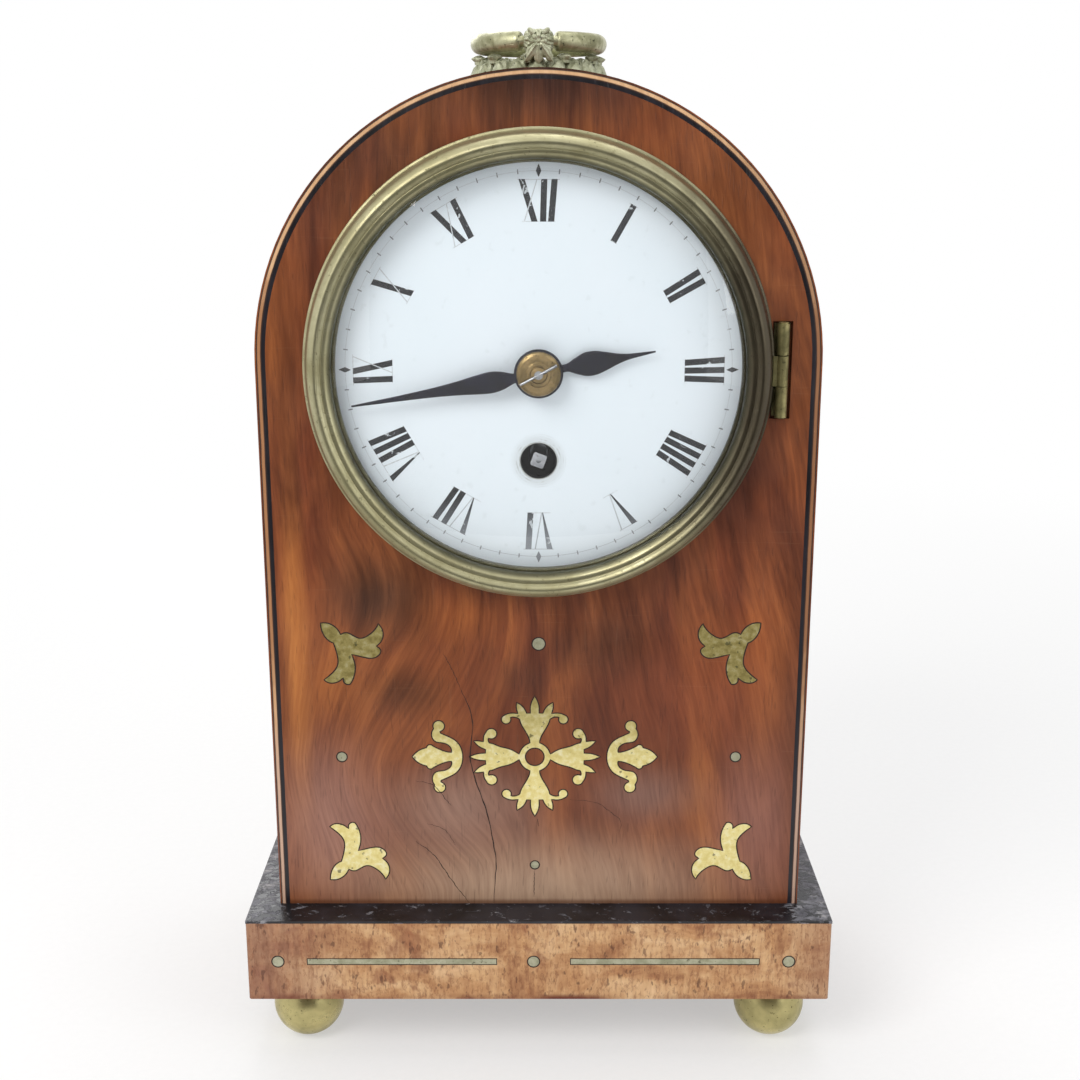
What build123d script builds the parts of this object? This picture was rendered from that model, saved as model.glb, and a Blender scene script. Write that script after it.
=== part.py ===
from build123d import *
import math
import os

os.makedirs("parts", exist_ok=True)

# Fusee clock in an arched mahogany case. X is right, Y is back with 0 at the front board's face, Z is up.

# Case
case_width = 203.2
case_depth = 127.0
straight_height = 213.0
front_board_thickness = 12.0
side_thickness = 9.0
cleat_width = 10.0
cleat_height = 12.0
boxwood_margin = 0.5
boxwood_width = 2.0
ebony_width = 1.3
stringing_depth = 1.2

# Plinth and feet
plinth_overhang = 11.9
plinth_overhang_back = 3.0
plinth_height = 32.7
plinth_wall = 14.0
plinth_corner_radius = 1.2
plinth_block = 40.0
base_board_thickness = 9.0
moulding_rise = 2.3
moulding_edge = 1.0
moulding_ledge = 5.0
foot_radius = 14.0
foot_flat_radius = 3.0
foot_sink = 2.0
foot_spigot_radius = 4.0
foot_spigot_length = 9.0
foot_inset_side = 20.2
foot_inset_front = 20.2

# Back frame and back door
back_frame_width = 9.0
back_frame_thickness = 8.0
back_rail_height = 14.0
door_thickness = 10.0
door_gap = 0.6
door_stile = 20.0
door_glass_thickness = 2.0
door_glass_lap = 4.0
door_glass_gap = 0.15
knob_radius = 6.0
knob_length = 9.0
knob_neck_radius = 2.6
knob_screw_length = 7.0

# Hinges
hinge_pin_radius = 1.0
hinge_running_gap = 0.05
bezel_hinge_offset = 2.6
bezel_hinge_y = -1.5
bezel_hinge_height = 33.5
bezel_knuckle_radius = 2.2
bezel_leaf_thickness = 1.2
bezel_leaf_width = 5.6
recess_gap = 0.8
recess_depth = 3.0
back_knuckle_radius = 2.0
back_leaf_thickness = 1.2
back_leaf_width = 7.4
back_hinge_height = 28.0
back_hinge_offset = 75.0
knuckle_gap = 0.2
hinge_screw_head = 1.5
hinge_screw_shank = 0.8
hinge_screw_length = 6.0

# Dial, glass and bezel
dial_height = 210.8
dial_radius = 76.2
dial_rim_y = 3.0
dial_sagitta = 6.0
dial_thickness = 1.8
dial_opening_gap = 1.3
dial_centre_hole = 4.6
dial_foot_radius = 2.0
dial_feet_places = ((0.0, 57.0), (-52.0, -30.0), (34.0, -52.0))
winding_drop = 32.5
winding_hole_radius = 6.4
bezel_outer_radius = 84.3
bezel_sight_radius = 73.5
bezel_height = 11.0
bezel_gap = 0.3
bezel_lip = 1.4
glass_radius = 74.6
glass_rim_y = -4.0
glass_sagitta = 10.0
glass_thickness = 2.0
glass_seat_gap = 0.1
retaining_ring_radius = 72.4
retaining_ring_thickness = 2.6

# Hands and motion work
hand_thickness = 0.6
hour_hand_y = -5.5
minute_hand_y = -8.0
hour_hand_length = 42.0
minute_hand_length = 68.0
hour_hand_angle = 80.0
minute_hand_angle = 259.5
boss_radius = 7.9
boss_height = 3.8
boss_slot_width = 1.2
boss_slot_depth = 0.8
boss_slot_angle = 27.0
hour_collet_radius = 7.6
minute_collet_radius = 8.7
cannon_wall = 0.85
hour_pipe_wall = 0.95
pipe_gap = 0.06
motion_module = 0.52
motion_teeth = 36
hour_teeth = 96
minute_pinion_leaves = 8
motion_wheel_y = 13.0
hour_wheel_y = 9.5
motion_thickness = 2.0

# Movement frame
front_plate_y = 17.0
plate_thickness = 2.5
plate_spacing = 44.0
plate_lower_left = -72.0
plate_lower_right = 40.0
plate_bottom = -86.0
plate_shoulder = -5.0
plate_upper_half = 36.0
plate_top = 60.0
plate_corner = 4.0
pillar_radius = 3.6
pillar_boss_radius = 5.0
pillar_places = ((-65.0, -79.0), (33.0, -79.0), (-65.0, -14.0), (30.0, 54.0), (-30.0, 54.0))
nut_radius = 4.2
nut_height = 2.2
seat_board_thickness = 12.0
pivot_radius = 0.8
pivot_gap = 0.05
arbor_radius = 1.5

# Train
great_teeth = 96
great_module = 0.625
great_wheel_y = 54.5
great_thickness = 2.5
centre_leaves = 8
centre_teeth = 84
centre_module = 0.5
centre_wheel_y = 21.5
third_leaves = 7
third_teeth = 78
third_module = 0.45
third_wheel_y = 45.0
third_bearing = 40.0
escape_leaves = 7
wheel_thickness = 1.6
pinion_overhang = 1.2
escape_teeth = 30
escape_radius = 15.0
escape_wheel_y = 40.0
escape_thickness = 1.2
pallet_rise = 21.5
pallet_clearance = 1.6

# Fusee, barrel and line
fusee_front_y = 26.0
fusee_back_y = 50.0
fusee_small_radius = 9.0
fusee_middle_radius = 12.2
fusee_big_radius = 19.0
fusee_flange_radius = 21.5
fusee_flange_thickness = 1.4
fusee_arbor_radius = 3.2
winding_square = 5.0
winding_square_turn = 20.0
winding_square_end_y = -1.0
winding_dimple_radius = 0.9
winding_dimple_depth = 1.2
ratchet_radius = 15.0
ratchet_teeth = 24
ratchet_thickness = 2.0
ratchet_gap = 0.4
barrel_x = -47.5
barrel_drop = 53.6
barrel_radius = 20.0
barrel_wall = 1.3
barrel_front_y = 22.0
barrel_length = 36.0
barrel_cap_thickness = 1.6
barrel_arbor_radius = 3.0
barrel_hub_radius = 5.0
spring_thickness = 0.6
spring_pitch = 1.7
spring_turns = 7
spring_end_gap = 1.4
line_radius = 0.9
line_pitch = 2.6
line_turns_fusee = 4
line_turns_barrel = 5
line_lift = 0.1
line_leaving_y = 37.0

# Pendulum
pendulum_y = 76.0
pendulum_length = 200.0
rod_radius = 1.5
bob_radius = 22.0
bob_thickness = 13.0
bob_gap = 0.05
rating_nut_radius = 6.0
rating_nut_height = 4.0
strip_width = 4.0
strip_thickness = 0.2
strip_above = 7.0
strip_below = 8.0
crutch_y = 70.0
crutch_length = 58.0
cock_thickness = 3.0

# Ring handle
ring_radius = 22.2
ring_tube_radius = 3.6
ring_rise = 10.8
ring_pivot_radius = 2.0
clasp_width = 11.6
clasp_radius = 4.8
clasp_gap = 0.4
handle_plate_radius = 27.0
handle_plate_thickness = 3.0
handle_leaves = 14
handle_leaf_radius = 3.4
handle_leaf_gap = 0.3
handle_stud_radius = 2.5

# Inlay
inlay_depth = 1.0
ornament_ring_radius = 6.2
ornament_hole_radius = 3.4
ornament_x = -1.5
ornament_height = 62.0
corner_margin_left = 19.6
corner_margin_right = 18.1
corner_upper = 116.3
corner_lower = 9.8
roundel_upper = 107.6
roundel_lower = 16.6
roundel_upper_radius = 2.7
roundel_lower_radius = 1.95
roundel_side_margin = 26.2
roundel_side_radius = 2.2
plinth_roundel_margin_left = 12.0
plinth_roundel_margin_right = 16.2
plinth_roundel_middle = -2.0
plinth_roundel_radius = 2.55
plinth_line_gap_outer = 11.3
plinth_line_gap_inner = 14.2
plinth_line_width = 2.8

# Places that follow from the sizes
half_case = case_width / 2
half_inside = half_case - side_thickness
half_plinth = half_case + plinth_overhang
bezel_hinge_x = bezel_outer_radius + bezel_hinge_offset
foot_centre = math.sqrt(foot_radius**2 - foot_flat_radius**2)
plinth_bottom = foot_centre + foot_radius - foot_sink
plinth_top = plinth_bottom + plinth_height
case_bottom = plinth_top + moulding_rise
spring_line = case_bottom + straight_height
apex = spring_line + half_case
plinth_front = -plinth_overhang
plinth_back = case_depth + plinth_overhang_back
dial_z = case_bottom + dial_height
winding_z = dial_z - winding_drop
back_plate_y = front_plate_y + plate_thickness + plate_spacing
back_plate_end = back_plate_y + plate_thickness
seat_top = dial_z + plate_bottom
third_distance = (centre_teeth + third_leaves) / 2 * centre_module
third_x = third_distance * math.sin(math.radians(third_bearing))
third_z = dial_z + third_distance * math.cos(math.radians(third_bearing))
escape_distance = (third_teeth + escape_leaves) / 2 * third_module
escape_z = third_z + math.sqrt(escape_distance**2 - third_x**2)
pallet_z = escape_z + pallet_rise
barrel_z = dial_z - barrel_drop
minute_distance = motion_teeth * motion_module
hour_module = 2 * minute_distance / (hour_teeth + minute_pinion_leaves)
cannon_radius = arbor_radius + pipe_gap + cannon_wall
hour_pipe_radius = cannon_radius + pipe_gap + hour_pipe_wall
door_front_y = case_depth - door_thickness
door_bottom = case_bottom + door_gap
door_half = half_inside - door_gap
back_hinge_x = half_inside - door_gap / 2
back_hinge_y = case_depth + back_knuckle_radius + knuckle_gap
ring_z = apex + ring_rise
ring_y = case_depth / 2
clasp_y = ring_y - ring_radius
glass_apex_y = glass_rim_y - glass_sagitta - glass_thickness
front_reach = min(glass_apex_y, plinth_front)
back_reach = case_depth + knob_length
centre_y = (front_reach + back_reach) / 2


def block(x0, x1, y0, y1, z0, z1):
    """A box given by its faces."""
    return Pos((x0 + x1) / 2, (y0 + y1) / 2, (z0 + z1) / 2) * Box(x1 - x0, y1 - y0, z1 - z0)


def rod(x, z, radius, y0, y1):
    """A cylinder along Y."""
    return Pos(x, (y0 + y1) / 2, z) * Rot(90, 0, 0) * Cylinder(radius, y1 - y0)


def slab(sketch, y0, y1):
    """A sketch drawn in X and Z, given a thickness along Y."""
    return Pos(0, y1, 0) * extrude(Plane.XZ * sketch, amount=y1 - y0, dir=(0, -1, 0))


def turned(points, x, z):
    """A closed profile of (radius, y) points turned about an axis along Y."""
    return Pos(x, 0, z) * revolve(Polygon(*points, align=None), Axis.Y)


def joined(solids):
    """Several solids as one part."""
    return Part() + list(solids)


def arch(half_width, bottom):
    """The outline of an arched panel, with its centre on the case's spring line."""
    height = spring_line - bottom
    below = Pos(0, bottom + height / 2) * Rectangle(2 * half_width, height)
    return below + Pos(0, spring_line) * Circle(half_width)


def polar(radius, angle):
    """A point from a radius and an angle in radians."""
    return (radius * math.cos(angle), radius * math.sin(angle))


def screw(x, z, y, head_radius, shank_radius, length):
    """A round-headed screw driven towards +Y from the plane y, with its slot."""
    head = rod(x, z, head_radius, y - head_radius / 2, y)
    slot = block(x - head_radius, x + head_radius, y - head_radius, y - head_radius / 4, z - 0.2, z + 0.2)
    return head + rod(x, z, shank_radius, y, y + length) - slot


def wheel_outline(teeth, module, phase):
    """A clock wheel's outline: straight flanks inside the pitch circle and rounded tips outside it."""
    pitch = teeth * module / 2
    half = 0.72 * module / pitch
    shape = (
        (-1.5, -1.0), (0.0, -1.0), (0.65, -0.68), (1.2, -0.15),
        (1.2, 0.15), (0.65, 0.68), (0.0, 1.0), (-1.5, 1.0),
    )
    points = []
    for tooth in range(teeth):
        centre = phase + 2 * math.pi * tooth / teeth
        points += [polar(pitch + rise * module, centre + side * half) for rise, side in shape]
    return Polygon(*points, align=None)


def pinion_outline(leaves, module, phase):
    """A pinion's outline: slim leaves with rounded tips."""
    pitch = leaves * module / 2
    half = 0.48 * module / pitch
    shape = ((-1.7, -1.0), (0.0, -1.0), (0.4, -0.6), (0.5, 0.0), (0.4, 0.6), (0.0, 1.0), (-1.7, 1.0))
    points = []
    for leaf in range(leaves):
        centre = phase + 2 * math.pi * leaf / leaves
        points += [polar(pitch + rise * module, centre + side * half) for rise, side in shape]
    return Polygon(*points, align=None)


def crossings(inner, outer, arms, arm_width):
    """The windows between a wheel's arms."""
    windows = Circle(outer) - Circle(inner)
    for arm in range(arms):
        windows -= Rot(0, 0, 360 * arm / arms) * Pos(outer / 2 + arm_width, 0) * Rectangle(
            outer + arm_width, arm_width
        )
    return windows


def crossed_wheel(x, z, y, teeth, module, phase, thickness, arms):
    """A wheel with its teeth and arms; phase aims a tooth."""
    root = teeth * module / 2 - 1.5 * module
    rim = root - 1.6
    hub = max(4.0, rim * 0.22)
    outline = wheel_outline(teeth, module, phase) - crossings(hub, rim, arms, 1.8)
    return slab(Pos(x, z) * outline, y, y + thickness)


def bearing_to(x0, z0, x1, z1):
    """The angle from one centre to another."""
    return math.atan2(z1 - z0, x1 - x0)


def leaf(start, tip, half_width):
    """A pointed leaf between two points, made of two arcs."""
    x0, z0 = start
    x1, z1 = tip
    length = math.hypot(x1 - x0, z1 - z0)
    offset_x = -(z1 - z0) / length * half_width
    offset_z = (x1 - x0) / length * half_width
    middle_x = (x0 + x1) / 2
    middle_z = (z0 + z1) / 2
    one = ThreePointArc(start, (middle_x + offset_x, middle_z + offset_z), tip)
    other = ThreePointArc(tip, (middle_x - offset_x, middle_z - offset_z), start)
    return make_face([one.edge(), other.edge()])


# Case and plinth

def foot_centres():
    """The ball feet's places in X and Y."""
    side = half_plinth - foot_inset_side
    front = plinth_front + foot_inset_front
    back = plinth_back - foot_inset_front
    return [(x, y) for x in (-side, side) for y in (front, back)]


def ball_feet():
    """Four turned balls, flat below, each with a spigot that is let into the plinth."""
    feet = []
    for x, y in foot_centres():
        ball = Pos(x, y, foot_centre) * Sphere(foot_radius)
        ball -= Pos(x, y, -foot_radius) * Box(3 * foot_radius, 3 * foot_radius, 2 * foot_radius)
        spigot_top = plinth_bottom + foot_spigot_length
        spigot = Pos(x, y, (foot_centre + spigot_top) / 2) * Cylinder(
            foot_spigot_radius, spigot_top - foot_centre
        )
        feet.append(ball + spigot)
    return joined(feet)


def plinth_inside():
    """The hollow of the plinth frame."""
    half = half_plinth - plinth_wall
    return block(
        -half, half, plinth_front + plinth_wall, plinth_back - plinth_wall, plinth_bottom - 1,
        plinth_top + 1,
    )


def plinth_frame():
    """Four mitred sides with a glued block in each corner for the feet."""
    outside = block(-half_plinth, half_plinth, plinth_front, plinth_back, plinth_bottom, plinth_top)
    outside = fillet(outside.edges().filter_by(Axis.Z), plinth_corner_radius)
    frame = outside - plinth_inside()
    half = half_plinth - plinth_wall
    block_top = plinth_top - base_board_thickness
    reach = plinth_block - plinth_wall
    for side in (-1, 1):
        for y0 in (plinth_front + plinth_wall, plinth_back - plinth_wall - reach):
            x0 = min(side * half, side * (half - reach))
            frame += block(x0, x0 + reach, y0, y0 + reach, plinth_bottom, block_top)
    return frame - ball_feet() - plinth_pockets()


def base_board():
    """The board that closes the plinth under the case."""
    board = plinth_inside() & block(
        -half_plinth, half_plinth, plinth_front, plinth_back, plinth_top - base_board_thickness, plinth_top
    )
    return board


def ebonised_moulding():
    """The black top moulding, with a low upright edge and a slope that rises to the case."""
    low = plinth_top + moulding_edge
    edge = block(-half_plinth, half_plinth, plinth_front, plinth_back, plinth_top, low)
    centre = (plinth_front + plinth_back) / 2
    foot = Pos(0, centre, low) * Rectangle(2 * half_plinth, plinth_back - plinth_front)
    head = Pos(0, case_depth / 2, case_bottom) * Rectangle(case_width, case_depth)
    slope = loft([foot.face(), head.face()], ruled=True)
    half = half_case - moulding_ledge
    hollow = block(-half, half, moulding_ledge, case_depth - moulding_ledge, plinth_top - 1, case_bottom + 1)
    return edge + slope - hollow


def line_band(outer_margin, width):
    """A band that follows the arch at a margin from its edge."""
    outer = half_case - outer_margin
    return arch(outer, case_bottom) - arch(outer - width, case_bottom - 1)


def boxwood_stringing():
    """The pale line let into the front edge."""
    return slab(line_band(boxwood_margin, boxwood_width), 0, stringing_depth)


def ebony_stringing():
    """The black line inside the pale one."""
    return slab(line_band(boxwood_margin + boxwood_width, ebony_width), 0, stringing_depth)


def hinge_recess():
    """The pocket for the bezel hinge in the front board."""
    half = bezel_leaf_width / 2 + recess_gap
    height = bezel_hinge_height / 2 + recess_gap
    return block(
        bezel_hinge_x - half, bezel_hinge_x + half, bezel_hinge_y, recess_depth, dial_z - height,
        dial_z + height
    )


def front_board():
    """The solid front with its dial opening, hinge recess and pockets for the inlay."""
    board = slab(arch(half_case, case_bottom), 0, front_board_thickness)
    board -= rod(0, dial_z, dial_radius + dial_opening_gap, -1, front_board_thickness + 1)
    board -= hinge_recess()
    board -= slab(line_band(boxwood_margin, boxwood_width + ebony_width), 0, stringing_depth)
    for sketch in (centre_ornament(), corner_sprays(), roundels()):
        board -= slab(sketch, 0, inlay_depth)
    return board - bezel_hinge_screws()


def arched_carcase():
    """The two sides and the bent top, with the cleats that the seat board lies on."""
    shell = arch(half_case, case_bottom) - arch(half_inside, case_bottom - 1)
    body = slab(shell, front_board_thickness, case_depth)
    seat_bottom = seat_top - seat_board_thickness
    for side in (-1, 1):
        x0 = min(side * half_inside, side * (half_inside - cleat_width))
        body += block(
            x0, x0 + cleat_width, front_board_thickness, back_plate_end, seat_bottom - cleat_height,
            seat_bottom
        )
    body -= Pos(0, ring_y, apex - side_thickness / 2) * Cylinder(handle_stud_radius, 2 * side_thickness)
    return body - back_hinge_screws(1)


def back_frame():
    """The arched frame inside the back that the door closes on."""
    sketch = arch(half_inside, case_bottom) - arch(
        half_inside - back_frame_width, case_bottom + back_rail_height
    )
    return slab(sketch, door_front_y - back_frame_thickness, door_front_y)


# Inlay

def outline(stretches):
    """A face from stretches of its outline: two points are a line, three an arc, and more a smooth curve."""
    edges = []
    for points in stretches:
        if len(points) == 2:
            edges.append(Line(*points).edge())
        elif len(points) == 3:
            edges.append(ThreePointArc(*points).edge())
        else:
            edges.append(Spline(*points).edge())
    return make_face(edges)


def mirrored_outline(stretches):
    """A face from the right half of its outline, from bottom to top, and the same half mirrored."""
    left = [[(-x, z) for x, z in reversed(points)] for points in reversed(stretches)]
    top, bottom = stretches[-1][-1], stretches[0][0]
    closed = list(stretches)
    if top[0] > 0:
        closed.append([top, (-top[0], top[1])])
    closed += left
    if bottom[0] > 0:
        closed.append([(-bottom[0], bottom[1]), bottom])
    return outline(closed)


def curled_arm(path, width, curl_radius):
    """A band along an arc from the cluster, with a round curl tucked in at its end."""
    root, crest, tip, curl = path
    return SlotArc(ThreePointArc(root, crest, tip), width) + Pos(*curl) * Circle(curl_radius)


def upright_palmette():
    """The leaf cluster above or below the ring: a cup, three leaves and two arms that curl downwards."""
    cluster = mirrored_outline([[(2.0, 5.4), (3.0, 9.0), (4.7, 12.0), (5.8, 14.6), (5.4, 18.0)]])
    cluster += leaf((0, 14.0), (0, 25.0), 1.9)
    for side in (-1, 1):
        cluster += leaf((side * 3.0, 14.6), (side * 7.0, 22.4), 1.7)
        path = [(side * 4.6, 15.4), (side * 8.6, 17.1), (side * 11.6, 16.0), (side * 10.9, 15.3)]
        cluster += curled_arm(path, 2.0, 2.0)
    return cluster


def side_palmette():
    """The leaf cluster beside the ring: a bell, three leaves and two arms that curl inwards."""
    cluster = mirrored_outline([[(0.9, 5.6), (3.6, 10.2), (4.7, 14.0), (5.8, 17.4), (4.6, 19.0)]])
    cluster += leaf((0, 14.0), (0, 25.4), 1.7)
    for side in (-1, 1):
        cluster += leaf((side * 2.8, 15.4), (side * 6.6, 23.6), 1.5)
        path = [(side * 4.4, 17.4), (side * 8.2, 18.6), (side * 10.6, 16.6), (side * 9.5, 16.6)]
        cluster += curled_arm(path, 2.2, 2.3)
    return cluster


def crescent():
    """The outer ornament: a bow whose ends turn into curls, and a three-part leaf that points outwards."""
    bow = mirrored_outline([
        [(0, 27.4), (3.3, 27.9), (6.4, 29.7), (8.4, 32.7), (9.9, 35.9)],
        [(9.9, 35.9), (11.6, 36.4)],
        [(11.6, 36.4), (12.2, 38.2)],
        [(12.2, 38.2), (9.0, 39.6), (6.9, 38.9)],
        [(6.9, 38.9), (5.9, 37.6), (5.4, 34.7), (4.2, 32.7), (1.0, 32.4)],
        [(1.0, 32.4), (0, 32.4)],
    ])
    for side in (-1, 1):
        bow += Pos(side * 12.6, 36.6) * Circle(2.4)
    spear = mirrored_outline([
        [(1.9, 30.0), (2.2, 33.3), (3.3, 36.4), (4.6, 38.8)],
        [(4.6, 38.8), (5.1, 40.6), (3.9, 41.6)],
        [(3.9, 41.6), (2.7, 44.6), (0.0, 47.2)],
    ])
    return bow + spear


def centre_ornament():
    """The leaf cross in the middle of the front."""
    ring = Circle(ornament_ring_radius)
    for quarter in (0, 180):
        ring += Rot(0, 0, quarter) * upright_palmette()
    for quarter in (90, 270):
        ring += Rot(0, 0, quarter) * (side_palmette() + crescent())
    return Pos(ornament_x, case_bottom + ornament_height) * (ring - Circle(ornament_hole_radius))


def corner_spray():
    """One corner's leaves, drawn from the corner of the front inwards."""
    return outline([
        [(0.2, 0.4), (3.8, 0.6), (6.2, 2.2), (7.8, 4.8)],
        [(7.8, 4.8), (10.5, 4.2), (14.9, 6.3), (18.0, 5.2), (21.9, 0.5)],
        [(21.9, 0.5), (23.9, 4.6), (21.2, 9.6)],
        [(21.2, 9.6), (22.8, 11.8), (21.1, 14.0), (17.0, 14.4), (11.8, 13.0)],
        [(11.8, 13.0), (13.0, 18.4), (10.9, 24.8)],
        [(10.9, 24.8), (9.4, 25.0), (8.1, 22.4)],
        [(8.1, 22.4), (5.4, 24.3), (2.7, 24.4), (0.7, 23.0)],
        [(0.7, 23.0), (3.4, 20.7), (6.0, 17.2), (6.0, 13.0), (4.8, 8.5)],
        [(4.8, 8.5), (2.3, 6.8), (0.6, 3.6), (0.2, 0.4)],
    ])


def corner_sprays():
    """The four corner sprays, each turned to its own corner."""
    upper = case_bottom + corner_upper
    lower = case_bottom + corner_lower
    left = corner_margin_left - half_case
    right = half_case - corner_margin_right
    spray = corner_spray()
    across = mirror(spray, Plane.YZ)
    sketch = Pos(left, upper) * mirror(spray, Plane.XZ)
    sketch += Pos(right, upper) * mirror(across, Plane.XZ)
    sketch += Pos(left, lower) * spray
    sketch += Pos(right, lower) * across
    return sketch


def roundels():
    """The small brass discs on the front board."""
    side = half_case - roundel_side_margin
    places = [(0, roundel_upper, roundel_upper_radius), (ornament_x, roundel_lower, roundel_lower_radius)]
    places += [(x, ornament_height, roundel_side_radius) for x in (-side, side)]
    return Sketch() + [Pos(x, case_bottom + z) * Circle(radius) for x, z, radius in places]


def plinth_sketch():
    """The discs and lines let into the plinth's front."""
    middle = (plinth_bottom + plinth_top) / 2
    left = plinth_roundel_margin_left - half_plinth
    right = half_plinth - plinth_roundel_margin_right
    sketch = Sketch() + [
        Pos(x, middle) * Circle(plinth_roundel_radius) for x in (left, plinth_roundel_middle, right)
    ]
    for x0, x1 in (
        (left + plinth_line_gap_outer, plinth_roundel_middle - plinth_line_gap_inner),
        (plinth_roundel_middle + plinth_line_gap_inner, right - plinth_line_gap_outer),
    ):
        sketch += Pos((x0 + x1) / 2, middle) * Rectangle(x1 - x0, plinth_line_width)
    return sketch


def plinth_pockets():
    """The room for the plinth's inlay."""
    return slab(plinth_sketch(), plinth_front, plinth_front + inlay_depth)


# Back door

def door_outline(margin):
    """The back door's outline, drawn in by a margin."""
    return arch(door_half - margin, door_bottom + margin)


def back_door_frame():
    """The arched door frame, rebated inside for its glass."""
    frame = slab(door_outline(0) - door_outline(door_stile), door_front_y, case_depth)
    rebate = door_outline(door_stile - door_glass_lap)
    frame -= slab(rebate, door_front_y - 1, door_front_y + door_glass_thickness)
    frame -= rod(
        -door_half + door_stile / 2, dial_z, knob_neck_radius / 2, case_depth - knob_screw_length,
        case_depth,
    )
    return frame - back_hinge_screws(-1)


def back_door_glass():
    """The flat arched pane."""
    pane = door_outline(door_stile - door_glass_lap + door_glass_gap)
    return slab(pane, door_front_y, door_front_y + door_glass_thickness)


def back_door_knob():
    """A small turned pull with its screw."""
    r, n, y = knob_radius, knob_neck_radius, case_depth
    points = [
        (0, y - knob_screw_length), (n / 2, y - knob_screw_length), (n / 2, y), (n + 1.2, y),
        (n + 1.2, y + 0.8),
    ]
    points += [(n, y + 1.4), (n, y + 3.0), (r * 0.8, y + 4.0), (r, y + 5.6), (r * 0.9, y + 7.4)]
    points += [(r * 0.5, y + knob_length - 0.3), (0, y + knob_length)]
    return turned(points, -door_half + door_stile / 2, dial_z)


# Hinges

def knuckle(x, y, z0, z1, radius):
    """A length of hinge tube along Z, bored for the pin."""
    tube = Cylinder(radius, z1 - z0) - Cylinder(hinge_pin_radius + hinge_running_gap, z1 - z0)
    return Pos(x, y, (z0 + z1) / 2) * tube


def hinge_pin(x, y, z0, z1, radius):
    """A hinge pin with a flat head on top."""
    shank = Pos(x, y, (z0 + z1) / 2) * Cylinder(hinge_pin_radius, z1 - z0)
    return shank + Pos(x, y, z1 + 0.3) * Cylinder(radius * 0.8, 0.6)


def third_spans(z0, z1):
    """The spans of the three knuckles of a hinge, with a gap between them."""
    step = (z1 - z0) / 3
    return [(z0 + i * step + (knuckle_gap if i else 0), z0 + (i + 1) * step) for i in range(3)]


def bezel_hinge_span():
    """The bezel hinge's lowest and highest points."""
    return dial_z - bezel_hinge_height / 2, dial_z + bezel_hinge_height / 2


def bezel_screw_places():
    """The heights of the two screws in the bezel hinge."""
    return [dial_z - bezel_hinge_height / 6 + 1.5, dial_z + bezel_hinge_height / 6 - 1.5]


def bezel_hinge_screws():
    """Two small screws that hold the fixed leaf in its recess."""
    y = recess_depth - bezel_leaf_thickness
    return joined(
        screw(bezel_hinge_x, z, y, hinge_screw_head, hinge_screw_shank, hinge_screw_length)
        for z in bezel_screw_places()
    )


def bezel_hinge_fixed_leaf():
    """The leaf in the case's recess, with the top and bottom knuckles."""
    z0, z1 = bezel_hinge_span()
    half = bezel_leaf_width / 2
    x, y = bezel_hinge_x, bezel_hinge_y
    leaf_front = recess_depth - bezel_leaf_thickness
    part = block(x - half, x + half, leaf_front, recess_depth, z0, z1)
    spans = third_spans(z0, z1)
    for low, high in (spans[0], spans[2]):
        part += block(x + hinge_pin_radius + 0.4, x + bezel_knuckle_radius, y, leaf_front, low, high)
        part += knuckle(x, y, low, high, bezel_knuckle_radius)
    return part - bezel_hinge_screws()


def bezel_hinge_moving_leaf():
    """The middle knuckle with the tongue that is soldered to the bezel."""
    low, high = third_spans(*bezel_hinge_span())[1]
    high -= knuckle_gap
    x, y = bezel_hinge_x, bezel_hinge_y
    tongue = block(bezel_outer_radius - 4.0, x, y - bezel_leaf_thickness, y + 0.2, low, high)
    tongue -= Pos(x, y, dial_z) * Cylinder(bezel_knuckle_radius - 0.2, bezel_hinge_height)
    return tongue + knuckle(x, y, low, high, bezel_knuckle_radius) - bezel_ring()


def bezel_hinge_pin():
    """The pin of the bezel hinge."""
    z0, z1 = bezel_hinge_span()
    return hinge_pin(bezel_hinge_x, bezel_hinge_y, z0, z1, bezel_knuckle_radius)


def back_hinge_spans():
    """The heights of the two back hinges."""
    middle = case_bottom + straight_height / 2
    half = back_hinge_height / 2
    return [(middle + s * back_hinge_offset - half, middle + s * back_hinge_offset + half) for s in (-1, 1)]


def back_hinge_screws(side):
    """The screws of the back hinges: side 1 is the carcase, side -1 is the door."""
    x = back_hinge_x + side * (back_leaf_width * 0.62)
    y = case_depth + back_leaf_thickness
    screws = []
    for z0, z1 in back_hinge_spans():
        for z in (z0 + 5, z1 - 5):
            one = screw(0, 0, 0, hinge_screw_head, hinge_screw_shank, hinge_screw_length)
            screws.append(Pos(x, y, z) * Rot(0, 0, 180) * one)
    return joined(screws)


def back_leaf(side, knuckles):
    """One leaf of each back hinge with its knuckles."""
    part = Part()
    x, y = back_hinge_x, back_hinge_y
    for z0, z1 in back_hinge_spans():
        spans = third_spans(z0, z1)
        plate_x = sorted((x + side * 0.3, x + side * back_leaf_width))
        plate = block(plate_x[0], plate_x[1], case_depth, case_depth + back_leaf_thickness, z0, z1)
        for index, (low, high) in enumerate(spans):
            if index in knuckles:
                plate += knuckle(x, y, low, high, back_knuckle_radius)
                continue
            clear = Cylinder(back_knuckle_radius + knuckle_gap, high - low + 2 * knuckle_gap)
            plate -= Pos(x, y, (low + high) / 2) * clear
        plate -= Pos(x, y, (z0 + z1) / 2) * Cylinder(hinge_pin_radius + hinge_running_gap, z1 - z0)
        part += plate
    return part - back_hinge_screws(side)


def back_hinge_fixed_leaves():
    """The back hinges' leaves on the carcase."""
    return back_leaf(1, (0, 2))


def back_hinge_moving_leaves():
    """The back hinges' leaves on the door."""
    return back_leaf(-1, (1,))


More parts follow.
